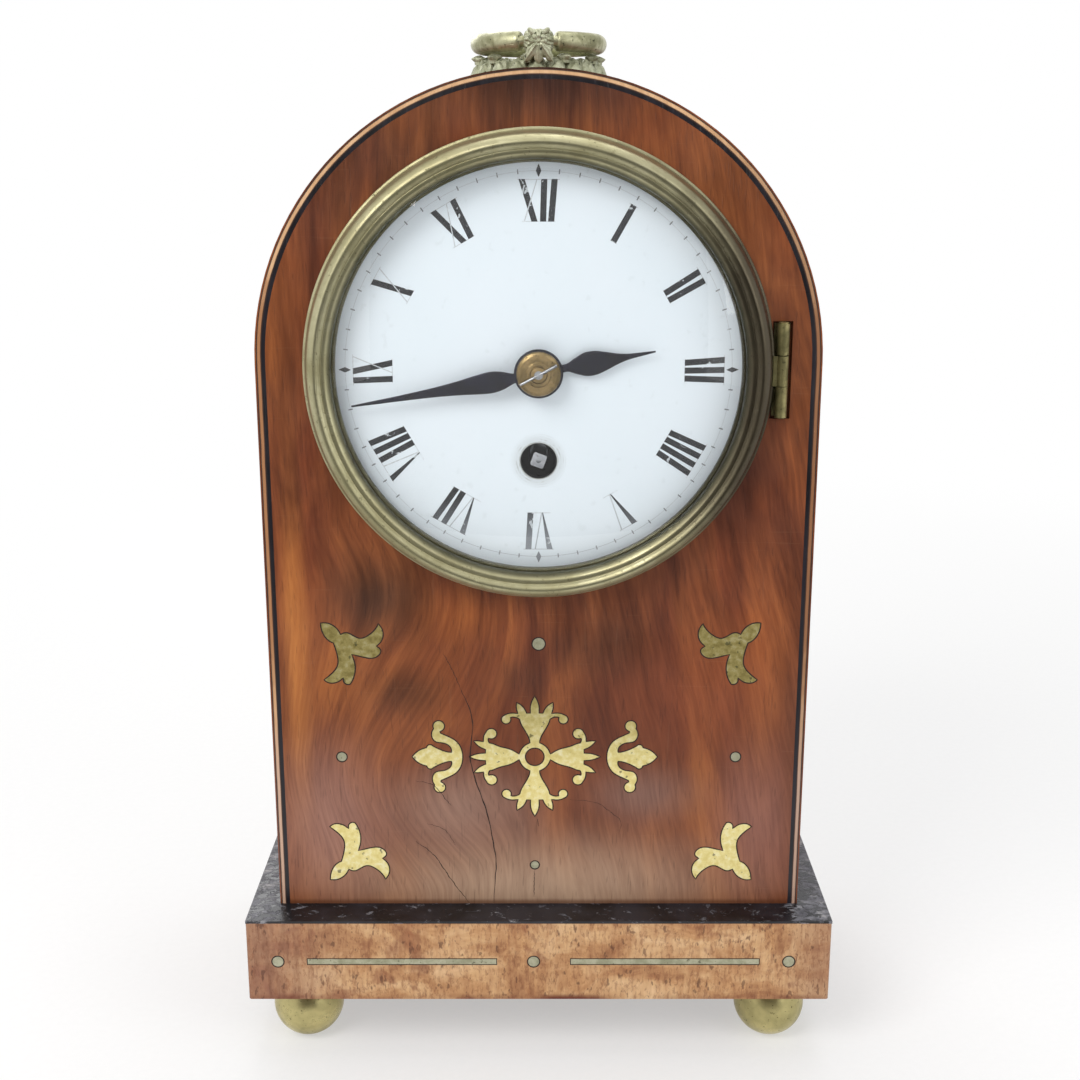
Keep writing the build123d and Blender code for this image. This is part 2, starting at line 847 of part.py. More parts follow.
def back_hinge_pins():
    """The pins of the two back hinges."""
    return joined(
        hinge_pin(back_hinge_x, back_hinge_y, z0, z1, back_knuckle_radius) for z0, z1 in back_hinge_spans()
    )


# Bezel and dial

def cap_y(rim_y, sagitta, rim_radius, radius):
    """The depth of a convex cap at a radius, for a cap that stands out towards -Y."""
    sphere = (rim_radius**2 + sagitta**2) / (2 * sagitta)
    drop = sphere - math.sqrt(sphere**2 - radius**2)
    return rim_y - sagitta + drop


def convex_shell(rim_radius, rim_y, sagitta, thickness, hole):
    """A thin shell between two equal arcs, turned about the dial's axis; rim_y is its hollow side's."""
    middle = (hole + rim_radius) / 2
    back = [(r, cap_y(rim_y, sagitta, rim_radius, r)) for r in (hole, middle, rim_radius)]
    front = [(r, y - thickness) for r, y in back]
    edges = [
        ThreePointArc(*back), Line(back[2], front[2]), ThreePointArc(*reversed(front)),
        Line(front[0], back[0]),
    ]
    return Pos(0, 0, dial_z) * revolve(make_face([e.edge() for e in edges]), Axis.Y)


def bezel_ring():
    """The half-round bezel with a rebate behind for the glass."""
    back = -bezel_gap
    lip_y = cap_y(
        glass_rim_y, glass_sagitta, glass_radius, bezel_sight_radius
    ) - glass_thickness - glass_seat_gap
    outer, sight = bezel_outer_radius, bezel_sight_radius
    rebate = glass_radius + glass_seat_gap
    crown = (outer + sight) / 2 + 0.6
    edge = Polyline(
        (rebate, lip_y), (rebate, back), (outer, back), (outer, back - 1.6), (outer - 0.8, back - 1.9)
    )
    round_side = ThreePointArc(
        (outer - 0.8, back - 1.9), (outer - 1.9, -bezel_height + 2.2), (crown, -bezel_height)
    )
    inner_side = ThreePointArc(
        (crown, -bezel_height), (sight + 1.6, -bezel_height + 1.3), (sight, lip_y - bezel_lip)
    )
    lip = Polyline((sight, lip_y - bezel_lip), (sight, lip_y), (rebate, lip_y))
    face = make_face([*edge.edges(), round_side.edge(), inner_side.edge(), *lip.edges()])
    return Pos(0, 0, dial_z) * revolve(face, Axis.Y)


def bezel_glass():
    """The convex glass."""
    return convex_shell(glass_radius, glass_rim_y, glass_sagitta, glass_thickness, 0)


def glass_retaining_ring():
    """The ring behind the glass that holds it in the bezel."""
    front = glass_rim_y + glass_seat_gap
    back = front + retaining_ring_thickness
    inner, outer = retaining_ring_radius, glass_radius
    points = [(inner, front + 0.6), (inner + 0.6, front), (outer, front), (outer, back), (inner, back)]
    return turned(points, 0, dial_z)


def dial():
    """The convex dial with its centre and winding holes and three feet."""
    rim_front = dial_rim_y + dial_thickness
    face = convex_shell(dial_radius, rim_front, dial_sagitta, dial_thickness, dial_centre_hole)
    face -= rod(0, winding_z, winding_hole_radius, -20, 20)
    for x, z in dial_feet_places:
        start = cap_y(rim_front, dial_sagitta, dial_radius, math.hypot(x, z)) - dial_thickness / 2
        face += rod(x, dial_z + z, dial_foot_radius, start, front_plate_y)
    return face


# Hands and motion work

def hand_sketch(points_right, angle):
    """A hand's outline from its right side, turned clockwise from twelve."""
    left = [(-x, z) for x, z in reversed(points_right)]
    return Pos(0, dial_z) * Rot(0, 0, -angle) * Polygon(*points_right, *left, align=None)


def hand_blade(shape, angle, y):
    """A hand cut from a thin shell that follows the dial's curve."""
    half = hand_thickness / 2
    shell = convex_shell(dial_radius, y + half + dial_sagitta, dial_sagitta, hand_thickness, 0)
    return slab(hand_sketch(shape, angle), y - half - 1, y + dial_sagitta + 1) & shell


def hour_hand():
    """The leaf-shaped hour hand on its collet."""
    length = hour_hand_length
    shape = [
        (2.0, 5.0), (1.4, 8.0), (1.6, 11.0), (3.6, 15.5), (4.4, 19.0), (3.9, 23.0), (2.4, 27.0), (1.2, 31.0)
    ]
    shape += [(0.7, 36.0), (0.35, length)]
    half = hand_thickness / 2
    blade = hand_blade(shape, hour_hand_angle, hour_hand_y)
    blade += rod(0, dial_z, hour_collet_radius, hour_hand_y - half, hour_hand_y + half)
    return blade - rod(0, dial_z, hour_pipe_radius, hour_hand_y - 2, hour_hand_y + 2)


def minute_hand():
    """The long tapering minute hand on its collet."""
    length = minute_hand_length
    shape = [
        (1.6, 6.0), (1.8, 9.0), (3.4, 14.0), (3.7, 18.0), (3.2, 24.0), (2.0, 34.0), (1.2, 46.0),
        (0.3, length),
    ]
    half = hand_thickness / 2
    blade = hand_blade(shape, minute_hand_angle, minute_hand_y)
    blade += rod(0, dial_z, minute_collet_radius, minute_hand_y - half, minute_hand_y + half)
    return blade - rod(0, dial_z, cannon_radius, minute_hand_y - 2, minute_hand_y + 2)


def hand_boss():
    """The brass collet on the minute hand: a rounded rim, a dished ring, a raised centre and a slot."""
    y = minute_hand_y - hand_thickness / 2
    r, h = boss_radius, boss_height
    bore = arbor_radius + pipe_gap
    points = [
        (bore, y), (r, y), (r, y - 0.7), (r * 0.96, y - h * 0.34), (r * 0.84, y - h * 0.5),
        (r * 0.7, y - h * 0.56),
    ]
    points += [
        (r * 0.58, y - h * 0.56), (r * 0.52, y - h * 0.66), (r * 0.4, y - h * 0.7), (r * 0.34, y - h * 0.92)
    ]
    points += [(bore, y - h)]
    dome = turned(points, 0, dial_z)
    depth = boss_slot_depth + h * 0.5
    cut = Pos(0, y - h + depth / 2, 0) * Box(2 * r * 0.9, depth, boss_slot_width)
    return dome - Pos(0, 0, dial_z) * Rot(0, -boss_slot_angle, 0) * cut


def cannon_pinion():
    """The pipe that carries the minute hand, with its 36-tooth wheel."""
    phase = math.pi / motion_teeth
    wheel = slab(Pos(0, dial_z) * wheel_outline(motion_teeth, motion_module, phase), motion_wheel_y,
                 motion_wheel_y + motion_thickness)
    start = minute_hand_y - hand_thickness / 2
    pipe = rod(0, dial_z, cannon_radius, start, motion_wheel_y + motion_thickness)
    return wheel + pipe - rod(0, dial_z, arbor_radius + pipe_gap, start - 1, front_plate_y)


def minute_wheel():
    """The wheel beside the cannon with its pinion, on a stud in the front plate."""
    x = minute_distance
    wheel = slab(Pos(x, dial_z) * wheel_outline(motion_teeth, motion_module, math.pi), motion_wheel_y,
                 motion_wheel_y + motion_thickness)
    leaves = pinion_outline(minute_pinion_leaves, hour_module, math.pi)
    pinion = slab(Pos(x, dial_z) * leaves, hour_wheel_y - 0.5, motion_wheel_y)
    return wheel + pinion - rod(x, dial_z, pivot_radius * 0.75 + pivot_gap, 0, front_plate_y)


def hour_wheel():
    """The wheel and pipe that carry the hour hand."""
    wheel = crossed_wheel(
        0, dial_z, hour_wheel_y, hour_teeth, hour_module, math.pi / hour_teeth, motion_thickness, 4
    )
    pipe = rod(0, dial_z, hour_pipe_radius, hour_hand_y - hand_thickness / 2, hour_wheel_y + motion_thickness)
    return wheel + pipe - rod(0, dial_z, cannon_radius + pipe_gap, hour_hand_y - 2, motion_wheel_y)


# Movement frame

def plate_sketch():
    """The outline of a shouldered plate."""
    lower_mid = (plate_lower_left + plate_lower_right) / 2
    lower = Pos(lower_mid, (plate_bottom + plate_shoulder) / 2) * Rectangle(
        plate_lower_right - plate_lower_left, plate_shoulder - plate_bottom
    )
    upper = Pos(0, (plate_bottom + plate_top) / 2) * Rectangle(2 * plate_upper_half, plate_top - plate_bottom)
    return Pos(0, dial_z) * fillet((lower + upper).vertices(), plate_corner)


def arbor_holes():
    """Each arbor's place, the radius of its front hole and the radius of its back hole."""
    small = pivot_radius + pivot_gap
    return [
        (0, dial_z, arbor_radius + pivot_gap, small),
        (0, winding_z, fusee_arbor_radius + pivot_gap, small),
        (third_x, third_z, small, small),
        (0, escape_z, small, small),
        (0, pallet_z, small, arbor_radius + pivot_gap),
        (barrel_x, barrel_z, barrel_arbor_radius, barrel_arbor_radius),
    ]


def front_plate():
    """The front plate with its pivot holes and the stud of the minute wheel."""
    plate = slab(plate_sketch(), front_plate_y, front_plate_y + plate_thickness)
    for x, z, front, back in arbor_holes():
        plate -= rod(x, z, front, front_plate_y - 1, front_plate_y + plate_thickness + 1)
    plate += rod(minute_distance, dial_z, pivot_radius * 0.75, hour_wheel_y - 1.5, front_plate_y)
    for x, z in pillar_places:
        plate -= rod(x, dial_z + z, pillar_radius / 2, front_plate_y - 1, front_plate_y + plate_thickness + 1)
    return plate


def back_plate():
    """The back plate with its pivot holes."""
    plate = slab(plate_sketch(), back_plate_y, back_plate_end)
    for x, z, front, back in arbor_holes():
        plate -= rod(x, z, back, back_plate_y - 1, back_plate_end + 1)
    for x, z in pillar_places:
        plate -= rod(x, dial_z + z, pillar_radius / 2, back_plate_y - 1, back_plate_end + 1)
    return plate


def pillars():
    """The turned pillars between the plates, with a stub through each plate."""
    start = front_plate_y + plate_thickness
    bulge = pillar_boss_radius
    posts = []
    for x, z in pillar_places:
        y = start
        points = [(0, y), (bulge, y), (bulge, y + 3), (pillar_radius, y + 5), (pillar_radius * 0.8, y + 14)]
        points += [(pillar_radius, y + plate_spacing / 2), (pillar_radius * 0.8, y + plate_spacing - 14)]
        points += [
            (pillar_radius, y + plate_spacing - 5), (bulge, y + plate_spacing - 3),
            (bulge, y + plate_spacing),
        ]
        points += [(0, y + plate_spacing)]
        post = turned(points, x, dial_z + z)
        posts.append(post + rod(x, dial_z + z, pillar_radius / 2, front_plate_y, back_plate_end))
    return joined(posts)


def seat_board():
    """The board that the movement stands on."""
    bottom = seat_top - seat_board_thickness
    board = block(-half_inside, half_inside, front_board_thickness, back_plate_end, bottom, seat_top)
    return board


def frame_fasteners():
    """The pillar nuts and the nut of the handle inside the case."""
    parts = []
    for x, z in pillar_places:
        hexagon = Pos(x, dial_z + z) * RegularPolygon(nut_radius, 6)
        parts.append(slab(hexagon, front_plate_y - nut_height, front_plate_y))
        parts.append(slab(hexagon, back_plate_end, back_plate_end + nut_height))
    nut_top = apex - side_thickness - 1.2
    nut = Pos(0, ring_y, nut_top - 4.0) * extrude(
        RegularPolygon(6.0, 6) - Circle(handle_stud_radius), amount=4.0
    )
    parts.append(nut)
    return joined(parts)


# Fusee and barrel

def fusee_arc():
    """The centre and radius of the circle that the fusee's hollow side follows, in (radius, y)."""
    middle_y = (fusee_front_y + fusee_back_y) / 2
    (ax, ay), (bx, by), (cx, cy) = (
        (fusee_small_radius, fusee_front_y), (fusee_middle_radius, middle_y),
        (fusee_big_radius, fusee_back_y))
    d = 2 * (ax * (by - cy) + bx * (cy - ay) + cx * (ay - by))
    a2, b2, c2 = ax * ax + ay * ay, bx * bx + by * by, cx * cx + cy * cy
    ux = (a2 * (by - cy) + b2 * (cy - ay) + c2 * (ay - by)) / d
    uy = (a2 * (cx - bx) + b2 * (ax - cx) + c2 * (bx - ax)) / d
    return ux, uy, math.hypot(ax - ux, ay - uy)


def fusee_radius(y, lift):
    """The radius at a depth of a curve that stands off the fusee by a lift."""
    ux, uy, radius = fusee_arc()
    return ux - math.sqrt((radius - lift) ** 2 - (y - uy) ** 2)


def ratchet_outline(teeth, radius, depth, inner):
    """A ratchet's outline with a bore."""
    points = []
    for tooth in range(teeth):
        start = 2 * math.pi * tooth / teeth
        points.append(polar(radius, start))
        points.append(polar(radius - depth, start + 0.12 * 2 * math.pi / teeth))
    return Polygon(*points, align=None) - Circle(inner)


def fusee_cone():
    """The fusee with its flange at the big end and its ratchet behind."""
    middle_y = (fusee_front_y + fusee_back_y) / 2
    bore = fusee_arbor_radius
    flange_end = fusee_back_y + fusee_flange_thickness
    side = ThreePointArc(
        (fusee_small_radius, fusee_front_y), (fusee_middle_radius, middle_y),
        (fusee_big_radius, fusee_back_y))
    rest = Polyline(
        (fusee_big_radius, fusee_back_y), (fusee_flange_radius, fusee_back_y),
        (fusee_flange_radius, flange_end), (bore, flange_end),
        (bore, fusee_front_y - 1.5), (fusee_small_radius + 2, fusee_front_y - 1.5),
        (fusee_small_radius + 2, fusee_front_y), (fusee_small_radius, fusee_front_y))
    cone = Pos(0, 0, winding_z) * revolve(make_face([side.edge(), *rest.edges()]), Axis.Y)
    ratchet = Pos(0, winding_z) * ratchet_outline(ratchet_teeth, ratchet_radius, 1.6, bore)
    return cone + slab(ratchet, flange_end, flange_end + ratchet_thickness)


def fusee_arbor():
    """The winding arbor, from its square in the dial to the back plate."""
    end = front_plate_y - 2.0
    start = winding_square_end_y
    half = winding_square / 2
    square = Rot(0, winding_square_turn, 0) * block(-half, half, start, end, -half, half)
    square = (Pos(0, 0, winding_z) * square) & rod(0, winding_z, fusee_arbor_radius, start, end)
    square -= rod(0, winding_z, winding_dimple_radius, start, start + winding_dimple_depth)
    body = rod(0, winding_z, fusee_arbor_radius, end, great_wheel_y + great_thickness + 1.0)
    pivot = rod(0, winding_z, pivot_radius, great_wheel_y, back_plate_end)
    return square + body + pivot


def great_wheel():
    """The great wheel, bored to turn on the fusee arbor."""
    phase = bearing_to(0, winding_z, 0, dial_z)
    wheel = crossed_wheel(0, winding_z, great_wheel_y, great_teeth, great_module, phase, great_thickness, 4)
    return wheel - rod(0, winding_z, fusee_arbor_radius + pivot_gap, great_wheel_y - 1, great_wheel_y + 4)


def click_sketch(reach, length):
    """A pawl that points at a ratchet, drawn beside it at the right."""
    tip = Polygon(
        (reach, -0.4), (reach + 4.6, 0.4), (reach + 6.6, length), (reach + 3.4, length), (reach + 0.6, 2.2),
        align=None,
    )
    return tip + Pos(reach + 5.0, length) * Circle(2.2)


def fusee_click():
    """The click on the great wheel's face."""
    start = fusee_back_y + fusee_flange_thickness + ratchet_gap
    sketch = Pos(0, winding_z) * click_sketch(ratchet_radius + ratchet_gap, 7.0)
    return slab(sketch, start, great_wheel_y)


def barrel_drum():
    """The open drum of the barrel."""
    y0, y1 = barrel_front_y, barrel_front_y + barrel_length
    drum = rod(barrel_x, barrel_z, barrel_radius, y0, y1)
    drum -= rod(barrel_x, barrel_z, barrel_radius - barrel_wall, y0 + barrel_cap_thickness, y1 + 1)
    return drum - rod(barrel_x, barrel_z, barrel_arbor_radius + pivot_gap, y0 - 1, y1)


def barrel_cap():
    """The cap that closes the barrel behind."""
    end = barrel_front_y + barrel_length
    cap = rod(barrel_x, barrel_z, barrel_radius - barrel_wall, end - barrel_cap_thickness, end)
    return cap - rod(barrel_x, barrel_z, barrel_arbor_radius + pivot_gap, end - 5, end + 1)


def barrel_arbor():
    """The barrel arbor with its hub, and the set-up ratchet in front of the plate."""
    arbor = rod(barrel_x, barrel_z, barrel_arbor_radius, front_plate_y - 5.0, back_plate_end)
    hub = rod(barrel_x, barrel_z, barrel_hub_radius, barrel_front_y + barrel_cap_thickness + 1,
              barrel_front_y + barrel_length - barrel_cap_thickness - 1)
    ratchet = Pos(barrel_x, barrel_z) * ratchet_outline(18, 9.0, 1.3, 0.5)
    return arbor + hub + slab(ratchet, front_plate_y - 2.2, front_plate_y)


def setup_click():
    """The click of the set-up ratchet, on the front plate."""
    sketch = Pos(barrel_x, barrel_z) * click_sketch(9.0 + ratchet_gap, 5.0)
    return slab(sketch, front_plate_y - 2.2, front_plate_y)


def mainspring():
    """The coiled spring between the barrel's hub and wall, made of half turns."""
    y0 = barrel_front_y + barrel_cap_thickness + 2
    y1 = barrel_front_y + barrel_length - barrel_cap_thickness - 2
    start = barrel_hub_radius + spring_end_gap
    sides = []
    for offset in (spring_thickness / 2, -spring_thickness / 2):
        arcs = []
        for half_turn in range(2 * spring_turns):
            radius = start + half_turn * spring_pitch / 2 + offset
            shift = spring_pitch / 4 * (1 if half_turn % 2 else -1)
            arcs.append(CenterArc((shift, 0), radius, 180 * (half_turn % 2), 180).edge())
        sides.append(arcs)
    inner_start, outer_start = sides[1][0] @ 0, sides[0][0] @ 0
    inner_end, outer_end = sides[1][-1] @ 1, sides[0][-1] @ 1
    ends = [Line(inner_start, outer_start).edge(), Line(inner_end, outer_end).edge()]
    face = make_face([*sides[0], *sides[1], *ends])
    return slab(Pos(barrel_x, barrel_z) * face, y0, y1)


def line_track():
    """Points and directions along the line's centre, from the barrel to the fusee's big end."""
    lift = line_radius + line_lift
    barrel_track = barrel_radius + lift
    leaving_radius = fusee_radius(line_leaving_y, lift)
    centre_distance = math.hypot(barrel_x, winding_z - barrel_z)
    along = ((0 - barrel_x) / centre_distance, (winding_z - barrel_z) / centre_distance)
    lean = (barrel_track - leaving_radius) / centre_distance
    rise = math.sqrt(1 - lean**2)
    normal = math.atan2(lean * along[1] + rise * along[0], lean * along[0] - rise * along[1])

    def on_barrel(turns):
        angle = normal - 2 * math.pi * turns
        r = barrel_track
        return Vector(
            barrel_x + r * math.cos(angle), line_leaving_y + line_pitch * turns,
            barrel_z + r * math.sin(angle),
        )

    def on_fusee(turns):
        angle = normal - 2 * math.pi * turns
        y = line_leaving_y + line_pitch * turns
        r = fusee_radius(y, lift)
        return Vector(r * math.cos(angle), y, winding_z + r * math.sin(angle))

    run = (on_fusee(0) - on_barrel(0)).normalized()
    points = []
    for step in range(4 * line_turns_barrel, 0, -1):
        turns = -step / 4
        points.append((on_barrel(turns), (on_barrel(turns + 1e-4) - on_barrel(turns - 1e-4)).normalized()))
    points.append((on_barrel(0), run))
    points.append((on_fusee(0), run))
    for step in range(1, 4 * line_turns_fusee + 1):
        turns = step / 4
        points.append((on_fusee(turns), (on_fusee(turns + 1e-4) - on_fusee(turns - 1e-4)).normalized()))
    return points


def biarc(start, start_direction, end, end_direction):
    """Two arcs that join two points with given directions."""
    chord = end - start
    total = start_direction + end_direction
    dot = 2 * (1 - start_direction.dot(end_direction))
    reach = (-chord.dot(total) + math.sqrt(chord.dot(total) ** 2 + 2 * dot * chord.dot(chord))) / dot
    middle = (start + end + (start_direction - end_direction) * reach) * 0.5
    middle_direction = (end - end_direction * reach - start - start_direction * reach).normalized()
    return [
        Edge.make_tangent_arc(start, start_direction, middle),
        Edge.make_tangent_arc(middle, middle_direction, end),
    ]


def gut_line():
    """The unbroken line: turns on the barrel, a straight run, and turns on the fusee."""
    track = line_track()
    edges = []
    for (start, start_direction), (end, end_direction) in zip(track, track[1:]):
        if (start_direction - end_direction).length < 1e-9:
            edges.append(Edge.make_line(start, end))
        else:
            edges += biarc(start, start_direction, end, end_direction)
    path = Wire(edges)
    samples = [path @ (i / 1600) for i in range(1601)]
    step = path.length / 1600
    skip = int(6 * line_radius / step) + 1
    least = min((samples[i] - samples[j]).length for i in range(1601) for j in range(i + skip, 1601))
    print(
        "gut line: length", round(path.length, 1), "mm, least gap to itself",
        round(least - 2 * line_radius, 2), "mm",
    )
    section = Plane(origin=track[0][0], z_dir=track[0][1]) * Circle(line_radius)
    return sweep(section, path=path)


# Train

def arbor_between_plates(x, z, radius):
    """An arbor with a pivot in each plate."""
    start = front_plate_y + plate_thickness
    body = rod(x, z, radius, start + 0.4, back_plate_y - 0.4)
    return body + rod(x, z, pivot_radius, front_plate_y, back_plate_end)


def centre_wheel():
    """The centre wheel and its arbor, which runs on through the dial."""
    phase = bearing_to(0, dial_z, third_x, third_z)
    wheel = crossed_wheel(0, dial_z, centre_wheel_y, centre_teeth, centre_module, phase, wheel_thickness, 4)
    start = minute_hand_y - boss_height
    arbor = rod(0, dial_z, arbor_radius, start, back_plate_y - 0.4)
    arbor += rod(0, dial_z, pivot_radius, back_plate_y - 1, back_plate_end)
    aim = bearing_to(0, dial_z, 0, winding_z) + math.pi / centre_leaves
    leaves = Pos(0, dial_z) * pinion_outline(centre_leaves, great_module, aim)
    pinion = slab(leaves, great_wheel_y - pinion_overhang, great_wheel_y + great_thickness + pinion_overhang)
    return wheel + arbor + pinion


def third_wheel():
    """The third wheel with its arbor and pinion."""
    phase = bearing_to(third_x, third_z, 0, escape_z)
    wheel = crossed_wheel(
        third_x, third_z, third_wheel_y, third_teeth, third_module, phase, wheel_thickness, 4
    )
    aim = bearing_to(third_x, third_z, 0, dial_z) + math.pi / third_leaves
    leaves = Pos(third_x, third_z) * pinion_outline(third_leaves, centre_module, aim)
    pinion = slab(
        leaves, centre_wheel_y - pinion_overhang, centre_wheel_y + wheel_thickness + pinion_overhang
    )
    core = third_leaves * centre_module / 2 - 1.6 * centre_module
    return wheel + pinion + arbor_between_plates(third_x, third_z, min(arbor_radius, core + 0.2))


def escape_wheel():
    """The escape wheel with its long pointed teeth, arbor and pinion."""
    points = []
    for tooth in range(escape_teeth):
        start = 2 * math.pi * tooth / escape_teeth
        pitch_angle = 2 * math.pi / escape_teeth
        points.append(polar(escape_radius, start))
        points.append(polar(escape_radius, start + 0.08 * pitch_angle))
        points.append(polar(escape_radius * 0.82, start + 0.42 * pitch_angle))
        points.append(polar(escape_radius * 0.82, start + 0.9 * pitch_angle))
    outline = Polygon(*points, align=None) - crossings(3.0, escape_radius * 0.82 - 1.4, 4, 1.5)
    wheel = slab(Pos(0, escape_z) * outline, escape_wheel_y, escape_wheel_y + escape_thickness)
    aim = bearing_to(0, escape_z, third_x, third_z) + math.pi / escape_leaves
    leaves = Pos(0, escape_z) * pinion_outline(escape_leaves, third_module, aim)
    pinion = slab(leaves, third_wheel_y - pinion_overhang, third_wheel_y + wheel_thickness + pinion_overhang)
    core = escape_leaves * third_module / 2 - 1.6 * third_module
    return wheel + pinion + arbor_between_plates(0, escape_z, core + 0.2)


def pallets():
    """The anchor with its two pallets, on the arbor that runs back to the crutch."""
    reach = escape_radius + pallet_clearance
    tip_x = reach * math.sin(math.radians(45))
    tip_z = reach * math.cos(math.radians(45)) - pallet_rise
    sketch = Circle(3.2)
    for side in (-1, 1):
        sketch += Polygon(
            (0, 2.6), (side * 8.0, 1.6), (side * (tip_x + 2.4), tip_z + 5.0), (side * (tip_x + 0.6), tip_z),
            (side * tip_x, tip_z + 0.6), (side * (tip_x - 1.6), tip_z + 5.0), (side * 6.0, -1.4), (0, -2.6),
            align=None)
    anchor = slab(Pos(0, pallet_z) * sketch, escape_wheel_y - 0.6, escape_wheel_y + escape_thickness + 0.6)
    start = front_plate_y + plate_thickness + 0.4
    arbor = rod(0, pallet_z, arbor_radius, start, crutch_y + 1.4)
    return anchor + arbor + rod(0, pallet_z, pivot_radius, front_plate_y, crutch_y)


def crutch():
    """The crutch behind the back plate, whose fork holds the pendulum rod."""
    half = 1.4
    arm = block(-1.4, 1.4, crutch_y - 1.0, crutch_y + 1.0, pallet_z - crutch_length, pallet_z)
    arm += rod(0, pallet_z, 3.4, crutch_y - 1.0, crutch_y + 1.4)
    fork_z = pallet_z - crutch_length
    for side in (-1, 1):
        x0 = side * (rod_radius + 0.15)
        x1 = side * (rod_radius + 0.15 + half)
        arm += block(min(x0, x1), max(x0, x1), crutch_y - 1.0, pendulum_y + 2.5, fork_z - half, fork_z + half)
    arm += block(
        -rod_radius - half, rod_radius + half, crutch_y - 1.0, crutch_y + 1.0, fork_z - half, fork_z + half
    )
    return arm - rod(0, pallet_z, arbor_radius, crutch_y - 3, crutch_y + 3)


def suspension_strip(bottom, top):
    """The suspension's strip between two heights."""
    half_thickness, half_width = strip_thickness / 2, strip_width / 2
    return block(
        -half_thickness, half_thickness, pendulum_y - half_width, pendulum_y + half_width, bottom, top
    )


def back_cock():
    """The bracket on the back plate that carries the suspension."""
    z0, z1 = pallet_z + strip_above - 2, pallet_z + strip_above + 5
    foot = block(-14, 14, back_plate_end, back_plate_end + cock_thickness, z0, z1)
    nose = block(-5, 5, back_plate_end, pendulum_y + 3, z0, z1)
    slot = suspension_strip(z0 - 1, z1 - 2)
    return foot + nose - slot


def suspension_spring():
    """The thin steel strip that the pendulum hangs from."""
    return suspension_strip(pallet_z - strip_below, pallet_z + strip_above + 3)


def bob_z():
    """The height of the bob's centre."""
    return pallet_z - pendulum_length


def pendulum_rod():
    """The steel rod, clamped to the strip above and threaded below the bob."""
    top = pallet_z - strip_below + 4
    bottom = bob_z() - bob_radius - 2 * rating_nut_height
    shaft = Pos(0, pendulum_y, (top + bottom) / 2) * Cylinder(rod_radius, top - bottom)
    shaft += block(-1.5, 1.5, pendulum_y - 3.2, pendulum_y + 3.2, pallet_z - strip_below - 4, top)
    return shaft - suspension_spring()


def pendulum_bob():
    """The lens-shaped bob."""
    half = bob_thickness / 2
    arcs = [
        ThreePointArc(
            (0, pendulum_y - half), (bob_radius * 0.6, pendulum_y - half * 0.66), (bob_radius, pendulum_y)
        ),
        ThreePointArc(
            (bob_radius, pendulum_y), (bob_radius * 0.6, pendulum_y + half * 0.66), (0, pendulum_y + half)
        ),
        Line((0, pendulum_y + half), (0, pendulum_y - half)),
    ]
    lens = Pos(0, 0, bob_z()) * revolve(make_face([a.edge() for a in arcs]), Axis.Y)
    return lens - Pos(0, pendulum_y, bob_z()) * Cylinder(rod_radius + bob_gap, 3 * bob_radius)


def rating_nut():
    """The round nut under the bob that sets the rate."""
    top = bob_z() - bob_radius
    nut = Pos(0, pendulum_y, top - rating_nut_height / 2) * Cylinder(rating_nut_radius, rating_nut_height)
    return nut - Pos(0, pendulum_y, top) * Cylinder(rod_radius + bob_gap, 4 * rating_nut_height)


# Ring handle

def handle_plate():
    """The leafy plate on the arch, with a rim of leaf bosses under the ring and a stud through the case."""
    lid = Pos(0, 0, spring_line) * Rot(90, 0, 0) * Cylinder(
        half_case + handle_plate_thickness, 4 * handle_plate_radius
    )
    core = Pos(0, 0, spring_line) * Rot(90, 0, 0) * Cylinder(half_case, 8 * handle_plate_radius)
    column = Pos(0, ring_y, apex) * Cylinder(handle_plate_radius, 30)
    plate = column & (Pos(0, ring_y, 0) * (lid - core))
    rest_z = ring_z - ring_tube_radius - handle_leaf_gap
    for index in range(handle_leaves):
        x, y = polar(ring_radius, 2 * math.pi * (index + 0.5) / handle_leaves)
        post = Pos(x, ring_y + y, rest_z - 4.0) * Cylinder(handle_leaf_radius, 8.0)
        plate += post
    plate -= core
    stud_bottom = apex - side_thickness - 6.0
    return plate + Pos(0, ring_y, (stud_bottom + apex + 1) / 2) * Cylinder(
        handle_stud_radius, apex + 1 - stud_bottom
    )


def handle_clasp():
    """The leafy eye at the front of the plate that the ring turns in."""
    half = clasp_width / 2
    eye = Pos(0, clasp_y, ring_z) * Rot(0, 90, 0) * Cylinder(clasp_radius, clasp_width)
    neck = block(-half, half, clasp_y - clasp_radius + 0.6, clasp_y + clasp_radius - 0.6, apex - 4, ring_z)
    bore = Pos(0, clasp_y, ring_z) * Rot(0, 90, 0) * Cylinder(
        ring_pivot_radius + hinge_running_gap, clasp_width
    )
    return eye + neck - bore - handle_plate() - (Pos(0, ring_y, spring_line) * Rot(90, 0, 0) * Cylinder(
        half_case, 4 * handle_plate_radius))


def ring_handle():
    """The carrying ring, narrowed to a straight pivot inside the clasp."""
    ring = Pos(0, ring_y, ring_z) * Torus(ring_radius, ring_tube_radius)
    half = clasp_width / 2 + clasp_gap
    ring -= block(-half, half, clasp_y - 8, clasp_y + 8, ring_z - 8, ring_z + 8)
    return ring + Pos(0, clasp_y, ring_z) * Rot(0, 90, 0) * Cylinder(ring_pivot_radius, 2 * half + 2)


